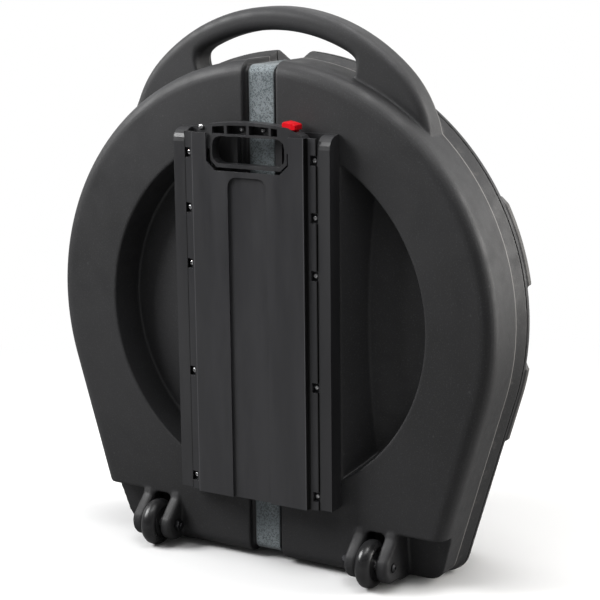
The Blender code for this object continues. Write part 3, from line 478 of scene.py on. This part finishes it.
SHELL_R, SHELL_Z = 330 * MM, 343 * MM
SIDE_LEAN = radians(16.3)
BOTTOM_Z, CORNER_R, WALL = 6 * MM, 24 * MM, 5 * MM
EDGE_R = 18 * MM
BASE_STRAIGHT, BASE_DEPTH = 69 * MM, 88.6 * MM
RIM_FLARE, RIM_DROP = 7 * MM, 5 * MM
TONGUE_H, TONGUE_OUT = 6 * MM, 4.3 * MM
LID_START, LID_BAND_END, LID_INSET = 88.9 * MM, PAD_START, 24 * MM
LID_FACE, LID_DEPTH, LID_DISC_R = 172.5 * MM, 178.5 * MM, 232 * MM
GROOVE_HALF, GROOVE_DEPTH = 25 * MM, 9 * MM
GROOVE_TOP = SHELL_Z + SHELL_R - GROOVE_DEPTH
GROOVE_BOTTOM = BOTTOM_Z + GROOVE_DEPTH
LID_GROOVE = LID_FACE - GROOVE_DEPTH
DISH_Z, DISH_R, DISH_FLOOR_R = 340 * MM, 237.5 * MM, 231.5 * MM
DISH_DEPTH, DISH_CROWN = 47 * MM, 17 * MM
DISH_CROWN_R = [r * MM for r in (222, 210, 195, 180, 165, 150, 130)]
BAND_HALF, BAND_SLOPE, BAND_Z = 118 * MM, 0.6, (50 * MM, 640 * MM)
WHEEL_X, WHEEL_R, WHEEL_DEPTH = 168 * MM, 32 * MM, -12.5 * MM
WELL_HALF, WELL_TOP, WELL_DEPTH, WELL_CORNER = 13.5 * MM, 70 * MM, 24 * MM, 7 * MM
# The wheel cheeks start 8 mm lower than on the solid and have a smaller edge radius.
POD_HALF, POD_DEPTH, POD_NOSE, POD_TOP = 32 * MM, -8.5 * MM, 22.5 * MM, 76 * MM
POD_FILLET, POD_ROUND, POD_ROOT = (-4 * MM, 66 * MM), 6 * MM, 40 * MM
AXLE_HOLE_R = 4.3 * MM
STEP_Z, STEP_DEPTH, STEP_X, STEP_WALL_X = 72 * MM, (24 * MM, 36 * MM), 199 * MM, 195 * MM
HANDLE_Z, HANDLE_R, HANDLE_BAR = 474.7 * MM, 263.5 * MM, 30.2 * MM
HANDLE_DEPTH, HANDLE_ROUND = (36 * MM, 78 * MM), 12 * MM
HANDLE_TAPER_FROM, HANDLE_TAPER, HANDLE_SUNK = 44, 0.03 * MM, 8 * MM
PAD_OUT, PAD_T, PAD_DEPTH = 2.5 * MM, 5 * MM, (LID_BAND_END, 103 * MM, 150 * MM)
PAD_X, PAD_Z = (250 * MM, 400 * MM), ((189 * MM, 287 * MM), (395 * MM, 497 * MM))
FOOT_X, FOOT_HALF, FOOT_DEPTH = 160 * MM, 30 * MM, (118 * MM, 158 * MM)
POCKET_HALF, POCKET_Z, PAST_LID = 36 * MM, (450 * MM, 580 * MM), 220 * MM
ARC_STEPS, CORNER_STEPS, GROOVE_STEPS = 192, 12, 10
EDGE_TURNS = (0, 15, 30, 45, 60, 75, 90)


def shell_ring(offset, depth):
    """The case's outline at one depth, moved outwards by the offset."""
    lean_sin, lean_cos = sin(SIDE_LEAN), cos(SIDE_LEAN)
    drop = offset * RIM_DROP / RIM_FLARE if offset > 0 else offset
    corner = max(CORNER_R + offset, 1 * MM)
    corner_z = BOTTOM_Z - drop + corner
    corner_x = (SHELL_R + offset - corner + lean_sin * (corner_z - SHELL_Z)) / lean_cos
    outline = arc(corner_x, corner_z, corner, -pi / 2, -SIDE_LEAN, CORNER_STEPS)
    outline += arc(0, SHELL_Z, SHELL_R + offset, -SIDE_LEAN, pi + SIDE_LEAN, ARC_STEPS)
    outline += arc(-corner_x, corner_z, corner, pi + SIDE_LEAN, 1.5 * pi, CORNER_STEPS)
    return [point(x, depth, z) for x, z in outline]


def edge_rings(inset, radius, face, direction):
    """The rounded edge between a shell's side wall and its face."""
    rings = []
    for turn in EDGE_TURNS:
        side = radius * (1 - sin(radians(turn)))
        rings.append(shell_ring(-inset - side, face + direction * radius * (1 - cos(radians(turn)))))
    return rings


def lid_offset(depth):
    """How far the lid's side wall, which leans in behind its band, stands off the case's outline."""
    lean = (RIM_FLARE + LID_INSET) / (LID_FACE - EDGE_R - LID_BAND_END)
    return RIM_FLARE - lean * max(depth - LID_BAND_END, 0)


def groove_line(ends_at, floor, lift):
    """Side view of a line this far above the groove's floor, round three sides of one shell."""
    on_lid = ends_at < floor
    sign, inset = (-1, LID_INSET) if on_lid else (1, 0.0)
    r = GROOVE_DEPTH + max(lift, 0)
    low, high, face = GROOVE_BOTTOM - lift, GROOVE_TOP + lift, floor - sign * lift
    line = [(ends_at, low)]
    if on_lid:
        line.append((LID_BAND_END, low))
    low_z, high_z = low + inset + r, high - inset - r
    line += [(face + sign * (r + d), low_z + z) for d, z in arc(0, 0, r, 1.5 * pi, pi, GROOVE_STEPS)]
    line += [(face + sign * (r + d), high_z + z) for d, z in arc(0, 0, r, pi, 0.5 * pi, GROOVE_STEPS)]
    if on_lid:
        line.append((LID_BAND_END, high))
    line.append((ends_at, high))
    return line


def strap_channel(name, half, ends_at, floor, wall):
    """Everything outside the line of the groove's floor, moved inwards by the wall."""
    beyond = 40 * MM
    far = floor - beyond if ends_at > floor else floor + beyond
    outline = [(ends_at, GROOVE_TOP + beyond), (far, GROOVE_TOP + beyond), (far, -beyond), (ends_at, -beyond)]
    return prism_x(name, outline + groove_line(ends_at, floor, -wall), -half, half)


def dish(wall):
    """The round dish with its crowned floor, less the band that crosses it."""
    def floor_depth(r):
        return DISH_DEPTH - DISH_CROWN * (1 - (r / DISH_FLOOR_R) ** 2) + wall

    mouth, deep = -2 * MM, DISH_DEPTH + wall
    profile = [(DISH_R + wall, mouth), (DISH_R + wall, 0.0), (DISH_FLOOR_R + wall, deep)]
    profile += [(r, floor_depth(r)) for r in DISH_CROWN_R]
    made = turned_depth("dish", profile, 0, DISH_Z, 256)
    ends = (mouth - MM, deep + 20 * MM)
    near, far = [BAND_HALF - wall + BAND_SLOPE * d for d in ends]
    outline = [(-near, ends[0]), (near, ends[0]), (far, ends[1]), (-far, ends[1])]
    return cut(made, prism_z("band", outline, *BAND_Z))


def carry_handle():
    """Curved grip over the top, whose ends run out along the shell's rim."""
    drop = HANDLE_Z - SHELL_Z
    deep = SHELL_R - HANDLE_SUNK
    inner = HANDLE_R - HANDLE_BAR

    def body_radius(turn):
        return sqrt((drop * cos(turn)) ** 2 + deep ** 2 - drop ** 2) - drop * cos(turn)

    # The inner side falls away to the shell: degrees from the top, and millimetres.
    right = [(radians(a), inner) for a in (*range(2, 27, 2), 27)]
    falls = ((28.5, 0.7), (30, 2), (30.8, 3.8), (31.4, 6), (31.9, 8.5), (32.3, 11), (32.7, 14), (33, 17))
    right += [(radians(a), inner - fall * MM) for a, fall in falls]
    right += [(radians(a), body_radius(radians(a))) for a in range(34, 75, 2)]
    stations = [(-a, r) for a, r in reversed(right)] + [(0, inner)] + right
    rings = []
    for turn, r_in in stations:
        past = max(abs(turn) * 180 / pi - HANDLE_TAPER_FROM, 0)
        r_out = max(HANDLE_R - HANDLE_TAPER * past ** 2, r_in + 2 * MM)
        r = min(HANDLE_ROUND, 0.48 * (r_out - r_in))
        outline = []
        for d, c, start in ((HANDLE_DEPTH[1] - r, r_out - r, 0), (HANDLE_DEPTH[0] + r, r_out - r, pi / 2),
                            (HANDLE_DEPTH[0] + r, r_in + r, pi), (HANDLE_DEPTH[1] - r, r_in + r, 1.5 * pi)):
            outline += arc(d, c, r, start, start + pi / 2, 6)
        rings.append([point(c * sin(turn), d, HANDLE_Z + c * cos(turn)) for d, c in outline])
    return loft("carry_handle", rings)


def wheel_cheek(inner, outer):
    """One of the two rounded lobes that hold a wheel between them."""
    nose = arc(POD_DEPTH, WHEEL_R, POD_NOSE, radians(150), radians(270), 18)
    outline = [(POD_ROOT, POD_TOP), (0, POD_TOP), POD_FILLET] + nose + [(POD_ROOT, WHEEL_R - POD_NOSE)]
    cheek = prism_x("cheek", outline, inner, outer)
    bm = bmesh.new()
    bm.from_mesh(cheek.data)
    flank = [e for e in bm.edges if abs(e.verts[0].co.x - e.verts[1].co.x) < 1e-6]
    flank = [e for e in flank if min(v.co.y for v in e.verts) < BACK_Y - 1e-6]
    bmesh.ops.bevel(bm, geom=flank, offset=POD_ROUND, segments=6, profile=0.5, affect="EDGES")
    bm.to_mesh(cheek.data)
    bm.free()
    return cheek


def corner_step(x_in, wall):
    """What is cut away where the lower corners are set back from the back face."""
    high, low = STEP_DEPTH[0] + wall, STEP_DEPTH[1] + wall
    outside, below, x_out = -50 * MM, -20 * MM, 300 * MM
    outline = [(outside, STEP_Z + wall), (high, STEP_Z + wall), (high + 4 * MM, STEP_Z - 8 * MM),
               (low, BOTTOM_Z), (low, below), (outside, below)]
    return gather("step", [prism_x("step", outline, side * x_in, side * x_out) for side in SIDES])


def wells(wall, front):
    """The space each wheel turns in, with rounded upper corners."""
    half, r = WELL_HALF + wall, WELL_CORNER + wall
    top, below = WELL_TOP + wall, -40 * MM
    opening = arc(half - r, top - r, r, 0, pi / 2, 8) + arc(r - half, top - r, r, pi / 2, pi, 8)
    opening += [(-half, below), (half, below)]
    made = []
    for side in SIDES:
        outline = [(side * WHEEL_X + x, z) for x, z in opening]
        made.append(prism_depth("well", outline, front, WELL_DEPTH + wall))
    return gather("wells", made)


def base_body():
    """Base half: shell, dish, band, wheel pods, carry handle and strap groove."""
    shell = loft("base_body", edge_rings(0, EDGE_R, 0, 1) + [
        shell_ring(0, BASE_STRAIGHT), shell_ring(RIM_FLARE, BASE_DEPTH),
        shell_ring(TONGUE_OUT, BASE_DEPTH), shell_ring(TONGUE_OUT, BASE_DEPTH + TONGUE_H)])
    hollow = loft("hollow", edge_rings(WALL, EDGE_R - WALL, WALL, 1) + [
        shell_ring(-WALL, BASE_STRAIGHT), shell_ring(RIM_FLARE - WALL, BASE_DEPTH),
        shell_ring(RIM_FLARE - WALL, BASE_DEPTH + 20 * MM)])
    end = BASE_DEPTH + 40 * MM
    cut(hollow, dish(WALL), wells(WALL, -50 * MM), corner_step(STEP_WALL_X, WALL),
        strap_channel("groove_wall", GROOVE_HALF + WALL, end, GROOVE_DEPTH, WALL))
    cut(shell, dish(0.0), corner_step(STEP_X, 0.0))
    for x in (-WHEEL_X, WHEEL_X):
        fuse(shell, wheel_cheek(x - POD_HALF, x - WELL_HALF), wheel_cheek(x + WELL_HALF, x + POD_HALF))
    fuse(shell, carry_handle())
    cut(shell, strap_channel("groove", GROOVE_HALF, end, GROOVE_DEPTH, 0.0), wells(0.0, -60 * MM), hollow)
    clear = GROOVE_HALF + WALL + MM
    cut(shell, box("tongue_gap", (-clear, clear), (BASE_DEPTH, end), (-20 * MM, 720 * MM)))
    reach = POD_HALF + 10 * MM
    hole = [(AXLE_HOLE_R, -reach), (AXLE_HOLE_R, reach)]
    for side in SIDES:
        cut(shell, turned_x("hole", hole, side * WHEEL_X, WHEEL_DEPTH, WHEEL_R, 24))
    return shell


def lid_body():
    """Shallow half with an upright band at its rim. Its side wall leans in behind the band."""
    shell = loft("lid_body", [shell_ring(RIM_FLARE, LID_START), shell_ring(RIM_FLARE, LID_BAND_END)]
                 + edge_rings(LID_INSET, EDGE_R, LID_FACE, -1)[::-1])
    step = LID_START + TONGUE_H + 0.3 * MM
    clear = TONGUE_OUT + 0.6 * MM
    hollow = loft("hollow", [
        shell_ring(clear, LID_START - 10 * MM), shell_ring(clear, step),
        shell_ring(RIM_FLARE - WALL, step), shell_ring(RIM_FLARE - WALL, LID_BAND_END)
    ] + edge_rings(LID_INSET + WALL, EDGE_R - WALL, LID_FACE - WALL, -1)[::-1])
    near, crown, far = PAD_DEPTH
    pads = loft("pads", [shell_ring(RIM_FLARE + PAD_OUT, near), shell_ring(RIM_FLARE + PAD_OUT, crown),
                         shell_ring(lid_offset(far) + PAD_T, far)])
    slabs = []
    for side in SIDES:
        for zs in PAD_Z:
            slabs.append(box("slab", [side * x for x in PAD_X], (near - 6 * MM, far + 10 * MM), zs))
    combine(pads, gather("slabs", slabs), "INTERSECT")
    disc = [(LID_DISC_R + 3 * MM, LID_FACE - 3 * MM), (LID_DISC_R - 6 * MM, LID_DEPTH)]
    fuse(shell, pads, turned_depth("disc", disc, 0, DISH_Z, 256))
    for side in SIDES:
        xs = (side * FOOT_X - FOOT_HALF, side * FOOT_X + FOOT_HALF)
        fuse(shell, box("foot", xs, FOOT_DEPTH, (0, BOTTOM_Z + 30 * MM)))
    start = LID_START - 60 * MM
    cut(hollow, strap_channel("groove_wall", GROOVE_HALF + WALL, start, LID_GROOVE, WALL))
    pocket_wall = (POCKET_Z[0] - WALL, POCKET_Z[1] + WALL)
    cut(hollow, box("pocket_wall", (-POCKET_HALF - WALL, POCKET_HALF + WALL),
                    (LID_GROOVE - WALL, PAST_LID), pocket_wall))
    cut(shell, strap_channel("groove", GROOVE_HALF, start, LID_GROOVE, 0.0))
    cut(shell, box("pocket", (-POCKET_HALF, POCKET_HALF), (LID_GROOVE, PAST_LID), POCKET_Z))
    return cut(shell, hollow)


def mark_pads(shell):
    """An attribute that is 1 on the lid's pads, for their colour."""
    marks = shell.data.attributes.new("pad", "FLOAT", "POINT")
    for v, mark in zip(shell.data.vertices, marks.data):
        out, depth = sqrt(v.co.x ** 2 + (v.co.z - SHELL_Z) ** 2) - SHELL_R, v.co.y - BACK_Y
        in_depth = LID_BAND_END - 6 * MM < depth < PAD_DEPTH[2] + 1 * MM
        at_pad = in_depth and any(low - MM < v.co.z < high + MM for low, high in PAD_Z)
        on_face = depth < PAD_DEPTH[0] or out > lid_offset(depth) + 1 * MM
        mark.value = 1.0 if at_pad and on_face else 0.0


VOXEL = 1.5 * MM
SHELL_ROUNDS, SHELL_KEEP = 4, 0.35
base = softened(base_body(), VOXEL, SHELL_ROUNDS, SHELL_KEEP)
dress(base, "moulded_shell", "base")
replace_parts(base, "base_shell")
lid = softened(lid_body(), VOXEL, SHELL_ROUNDS, SHELL_KEEP)
mark_pads(lid)
dress(lid, "moulded_shell", "lid")
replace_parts(lid, "lid_shell")


# Webbing.

STRAP_HALF, STRAP_T = 19 * MM, 2 * MM
STRAP_ROW, STRAP_COLUMNS = WEAVE_PITCH / 2, 34
STRAP_GAP_Z = (479.5 * MM, 514.5 * MM)


def evenly(path, step):
    """Points and directions at even distances along a path."""
    out, run = [], 0.0
    for (d0, z0), (d1, z1) in zip(path, path[1:]):
        length = sqrt((d1 - d0) ** 2 + (z1 - z0) ** 2)
        while len(out) * step <= run + length:
            t = (len(out) * step - run) / length
            out.append((d0 + (d1 - d0) * t, z0 + (z1 - z0) * t, (d1 - d0) / length, (z1 - z0) / length))
        run += length
    return out


def thread_lift(i, j):
    """Half the webbing's thickness where two threads cross. They stand up and down by turns."""
    edge = min(j, STRAP_COLUMNS - j)
    lift = (0.62 if edge == 0 else 0.95 if edge < 3 else 0.84) * STRAP_T / 2
    if edge:
        lift += (0.09 if (i + j) % 2 else -0.09) * MM
    return lift


def webbing(name, path, body, node):
    """Woven strip along a path, with thicker edges."""
    stations = evenly(path, STRAP_ROW)
    bm = bmesh.new()
    along = bm.verts.layers.float.new("along")
    across = bm.verts.layers.float.new("across")
    grid = []
    for side in (1, -1):
        rows = []
        for i, (d, z, td, tz) in enumerate(stations):
            row = []
            for j in range(STRAP_COLUMNS + 1):
                x = -STRAP_HALF + 2 * STRAP_HALF * j / STRAP_COLUMNS
                lift = thread_lift(i, j)
                v = bm.verts.new(point(x, d - tz * side * lift, z + td * side * lift))
                v[along], v[across] = i * STRAP_ROW, x
                row.append(v)
            rows.append(row)
        grid.append(rows)
    top, under = grid
    for rows in grid:
        for a, b in zip(rows, rows[1:]):
            for j in range(STRAP_COLUMNS):
                bm.faces.new((a[j], a[j + 1], b[j + 1], b[j]))
    for a, b, c, e in zip(top, top[1:], under, under[1:]):
        bm.faces.new((a[0], b[0], e[0], c[0]))
        bm.faces.new((a[-1], b[-1], e[-1], c[-1]))
    for a, c in ((top[0], under[0]), (top[-1], under[-1])):
        for j in range(STRAP_COLUMNS):
            bm.faces.new((a[j], a[j + 1], c[j + 1], c[j]))
    made = add_mesh(name, bm)
    made.data.shade_smooth()
    dress(made, "grey_webbing", body)
    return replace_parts(made, node)


MID_LIFT = 0.3 * MM + STRAP_T / 2
webbing("webbing_back", groove_line(BASE_DEPTH - 0.3 * MM, GROOVE_DEPTH, MID_LIFT), "base", "strap_back")
lid_path = groove_line(LID_START + 0.3 * MM, LID_GROOVE, MID_LIFT)
middle = len(lid_path) // 2
lower = lid_path[:middle] + [(lid_path[middle - 1][0], STRAP_GAP_Z[0])]
upper = [(lid_path[middle][0], STRAP_GAP_Z[1])] + lid_path[middle:]
webbing("webbing_front_lower", lower, "lid", "strap_front_lower")
webbing("webbing_front_upper", upper, "lid", "strap_front_upper")


# Foam and felt.

def soft_piece(node, body, slot, voxel, rounds, wander):
    """A soft piece in the place of its plain solid, with rounded edges and a slightly uneven face."""
    made = bpy.data.objects.new(node + "_soft", frame["nodes"][node].data.copy())
    bpy.context.scene.collection.objects.link(made)
    weld(made)
    softened(made, voxel, rounds, 1.0)
    outward = [v.normal.copy() for v in made.data.vertices]
    for v, normal in zip(made.data.vertices, outward):
        v.co += normal * wander * (noise.noise(v.co * 28.0) - 0.5)
    made.data.update()
    dress(made, slot, body)
    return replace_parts(made, node)


for node, body in (("base_foam_slab", "base"), ("base_edge_foam", "base"), ("base_foam_filler", "base"),
                   ("base_foam_core", "base"), ("lid_foam_slab", "lid"), ("lid_edge_foam", "lid")):
    soft_piece(node, body, "charcoal_foam", 5 * MM, 3, 0.8 * MM)
for node in ("felt_washer_lower", "felt_washer_upper"):
    soft_piece(node, "base", "grey_felt", 0.8 * MM, 3, 0.25 * MM)


# The solids that stay.

def crisp(node, width, flat=True):
    """Moulded edge radii on a solid that stays."""
    made = frame["nodes"][node]
    weld(made)
    if flat:
        step = made.modifiers.new("flat", "DECIMATE")
        step.decimate_type = "DISSOLVE"
        step.angle_limit = radians(1.0)
    step = made.modifiers.new("edges", "BEVEL")
    step.width = width
    step.segments = 2
    step.limit_method = "ANGLE"
    step.angle_limit = radians(35)
    step.harden_normals = True


for node, made in frame["nodes"].items():
    look = "dulled_zinc" if node.startswith("axle_") else slot_of[node]
    made.data.materials.clear()
    made.data.materials.append(looks["cover_plastic" if node == "cover_panel" else look])
for node, width in (("trolley_housing", 0.9), ("cover_panel", 0.7), ("handle_grip", 0.8), ("grip_back", 0.5),
                    ("handle_crossbar", 1.0), ("handle_leg_left", 1.0), ("handle_leg_right", 1.0),
                    ("release_button", 0.8), ("buckle_body", 1.2), ("buckle_tongue", 0.9),
                    ("buckle_release", 0.8), ("handle_guide_left", 0.6), ("handle_guide_right", 0.6)):
    crisp(node, width * MM, flat=node != "cover_panel")


# Screws, spring and tyres, finer than the solids, and one screw that the solids leave out.

def pan_screw(name, x, seat, z, r, length, body):
    """Domed head with a cross recess on a plain shank that points inwards."""
    profile = [(0.45 * r, seat - 2.4 * MM), (0.75 * r, seat - 2.1 * MM), (0.93 * r, seat - 1.5 * MM),
               (r, seat - 0.8 * MM), (r, seat), (0.45 * r, seat), (0.45 * r, seat + length)]
    made = turned_depth(name, profile, x, z, 28)
    for wide, tall in ((0.55 * r, 0.16 * r), (0.16 * r, 0.55 * r)):
        cut(made, box("arm", (x - wide, x + wide), (seat - 3 * MM, seat - MM), (z - tall, z + tall)))
    made.data.shade_smooth()
    made.data.set_sharp_from_angle(angle=radians(30))
    return dress(made, "zinc_steel", body)


SCREW_X, SCREW_SEAT = 94 * MM, -19.8 * MM
SCREW_Z = [z * MM for z in (553.3, 480.8, 406.6, 260.4, 114.1)]
pan_screw("grip_arm_screw", -74 * MM, -22.2 * MM, 587 * MM, 3.6 * MM, 1.2 * MM, "pull_handle")
for i, (side, z) in enumerate([(side, z) for side in SIDES for z in SCREW_Z], 1):
    screw = pan_screw("cover_screw_%d_turned" % i, side * SCREW_X, SCREW_SEAT, z, 3.5 * MM, 11 * MM, "base")
    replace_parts(screw, "cover_screw_%d" % i)


SPRING_AT, SPRING_Z = (63.5 * MM, -16.5 * MM), (567 * MM, 574.4 * MM)
SPRING_R, WIRE_R, BUTTON_TRAVEL = 1.5 * MM, 0.35 * MM, 4 * MM


def round_coil():
    """Finer coil under the button."""
    turns, steps = 3, 24
    (x, depth), (low, high) = SPRING_AT, SPRING_Z
    rise = (high - low) / turns / (2 * pi * SPRING_R)
    rings = []
    for i in range(turns * steps + 1):
        turn = 2 * pi * i / steps
        out = Vector((cos(turn), sin(turn), 0))
        up = Vector((-sin(turn), cos(turn), rise)).cross(out).normalized()
        centre = point(x, depth, low + (high - low) * i / (turns * steps)) + SPRING_R * out
        around = [2 * pi * k / 10 for k in range(10)]
        rings.append([centre + WIRE_R * (cos(a) * out + sin(a) * up) for a in around])
    made = loft("turned_spring", rings)
    made.data.shade_smooth()
    dress(made, "zinc_steel", "pull_handle")
    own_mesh(made)
    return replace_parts(made, "button_spring")


TYRE_STEPS = 96


def round_tyre(side, label):
    """Smooth glossy tyre with a crowned tread, given by its radii and half widths in millimetres."""
    crown = [(19.3, 10.2), (21.0, 10.8), (22.5, 11), (24.6, 10.7), (26.6, 9.9), (28.4, 8.6),
             (29.9, 6.9), (31.1, 4.8), (31.8, 2.4), (32, 0)]
    profile = [(r * MM, -w * MM) for r, w in crown] + [(r * MM, w * MM) for r, w in reversed(crown[:-1])]
    made = turned_x("tyre_" + label, profile, side * WHEEL_X, WHEEL_DEPTH, WHEEL_R, TYRE_STEPS, closed=True)
    made.data.shade_smooth()
    made.data.set_sharp_from_angle(angle=radians(40))
    dress(made, "wheel_tyre", "wheel_" + label)
    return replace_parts(made, "wheel_%s_tyre" % label)


round_coil()
round_tyre(-1, "left")
round_tyre(1, "right")


# Floor, light and camera.

FLOOR_FADE, FLOOR_HALF, AMBIENT = (0.35, 1.3), 40, 0.2


def stage_material():
    """White floor that takes the shadow near the case and goes plain white further off."""
    g = Graph(bpy.data.materials.new("studio_floor"))
    nodes, links = g.nodes, g.links
    shader = nodes["Principled BSDF"]
    shader.inputs["Base Color"].default_value = (0.92, 0.92, 0.92, 1.0)
    shader.inputs["Roughness"].default_value = 0.9
    shader.inputs["Specular IOR Level"].default_value = 0.1
    glow = nodes.new("ShaderNodeEmission")
    glow.inputs["Strength"].default_value = 1.0
    where = nodes.new("ShaderNodeTexCoord")
    far = nodes.new("ShaderNodeVectorMath")
    far.operation = "LENGTH"
    links.new(where.outputs["Object"], far.inputs[0])
    path = nodes.new("ShaderNodeLightPath")
    seen = g.sums("MULTIPLY", path.outputs["Is Camera Ray"], g.span(far.outputs["Value"], *FLOOR_FADE))
    dim = nodes.new("ShaderNodeBsdfDiffuse")
    dim.inputs["Color"].default_value = (0.28, 0.28, 0.28, 1.0)

    def mix(factor, first, second):
        step = nodes.new("ShaderNodeMixShader")
        for socket, value in zip(step.inputs, (factor, first, second)):
            links.new(value, socket)
        return step.outputs[0]

    looked_at = mix(seen, shader.outputs[0], glow.outputs[0])
    shown = mix(path.outputs["Is Camera Ray"], dim.outputs[0], looked_at)
    links.new(shown, nodes["Material Output"].inputs["Surface"])
    return g.made


def lay_floor():
    bm = bmesh.new()
    bmesh.ops.create_grid(bm, x_segments=8, y_segments=8, size=FLOOR_HALF)
    floor = add_mesh("studio_floor", bm)
    floor.data.materials.append(stage_material())


def light_world():
    """White where it is seen, or reflected from behind the case. Dimmer on the camera's side."""
    g = Graph(bpy.data.worlds.new("studio"))
    nodes, links = g.nodes, g.links
    bpy.context.scene.world = g.made
    background = nodes["Background"]
    background.inputs["Color"].default_value = (1.0, 1.0, 1.0, 1.0)
    path = nodes.new("ShaderNodeLightPath")
    way = nodes.new("ShaderNodeTexCoord")
    split = nodes.new("ShaderNodeSeparateXYZ")
    links.new(way.outputs["Generated"], split.inputs[0])
    behind = g.span(split.outputs["Y"], -0.6, 0.5, 0.14, 1.0)
    mirrored = g.sums("MAXIMUM", path.outputs["Is Glossy Ray"], path.outputs["Is Transmission Ray"])
    glossy = g.sums("MULTIPLY", mirrored, behind)
    shown = g.sums("MAXIMUM", glossy, path.outputs["Is Camera Ray"])
    seen = g.sums("MAXIMUM", mirrored, path.outputs["Is Camera Ray"])
    fill = g.sums("MULTIPLY", g.sums("SUBTRACT", 1.0, seen), AMBIENT)
    links.new(g.sums("ADD", shown, fill), background.inputs["Strength"])


def soft_lamp(name, place, aim, size, power, tint=(1.0, 1.0, 1.0)):
    data = bpy.data.lights.new(name, "AREA")
    data.shape = "RECTANGLE"
    data.size, data.size_y = size
    data.energy = power
    data.color = tint
    made = bpy.data.objects.new(name, data)
    made.location = place
    made.rotation_mode = "QUATERNION"
    made.rotation_quaternion = (Vector(aim) - Vector(place)).to_track_quat("-Z", "Y")
    bpy.context.scene.collection.objects.link(made)


lay_floor()
light_world()
soft_lamp("key", (-1.45, -0.95, 1.5), (0, 0, 0.6), (1.0, 1.0), 50)
soft_lamp("top", (0.4, -0.6, 1.75), (0.1, 0, 0.6), (1.2, 0.5), 7)
soft_lamp("side", (2.2, 1.3, 0.85), (0.25, 0, 0.3), (1.4, 2.4), 78, (1.0, 0.98, 0.95))
soft_lamp("over", (0.2, 0.3, 2.6), (0, 0, 0.3), (1.6, 1.2), 32)

CAMERA_AT = (1.16688, -1.93364, 0.84619)
CAMERA_TURN, CAMERA_PITCH, CAMERA_ROLL = 0.536, 0.217, -0.011
FRAME_PIXELS, FOCAL_PIXELS = 600, 1724.334


def add_camera():
    """The photograph's camera, with a slight roll."""
    data = bpy.data.cameras.new("camera")
    data.sensor_width = 36
    data.lens = FOCAL_PIXELS * data.sensor_width / FRAME_PIXELS
    data.clip_end = 200
    made = bpy.data.objects.new("camera", data)
    a, p, r = CAMERA_TURN, CAMERA_PITCH, CAMERA_ROLL
    ahead = Vector((-sin(a) * cos(p), cos(a) * cos(p), -sin(p)))
    right = Vector((cos(a), sin(a), 0))
    up = right.cross(ahead)
    rolled_right = cos(r) * right + sin(r) * up
    rolled_up = -sin(r) * right + cos(r) * up
    turn = Matrix((rolled_right, rolled_up, -ahead)).transposed().to_4x4()
    made.matrix_world = Matrix.Translation(CAMERA_AT) @ turn
    bpy.context.scene.collection.objects.link(made)
    bpy.context.scene.camera = made


add_camera()
bpy.context.scene.view_settings.view_transform = "Standard"
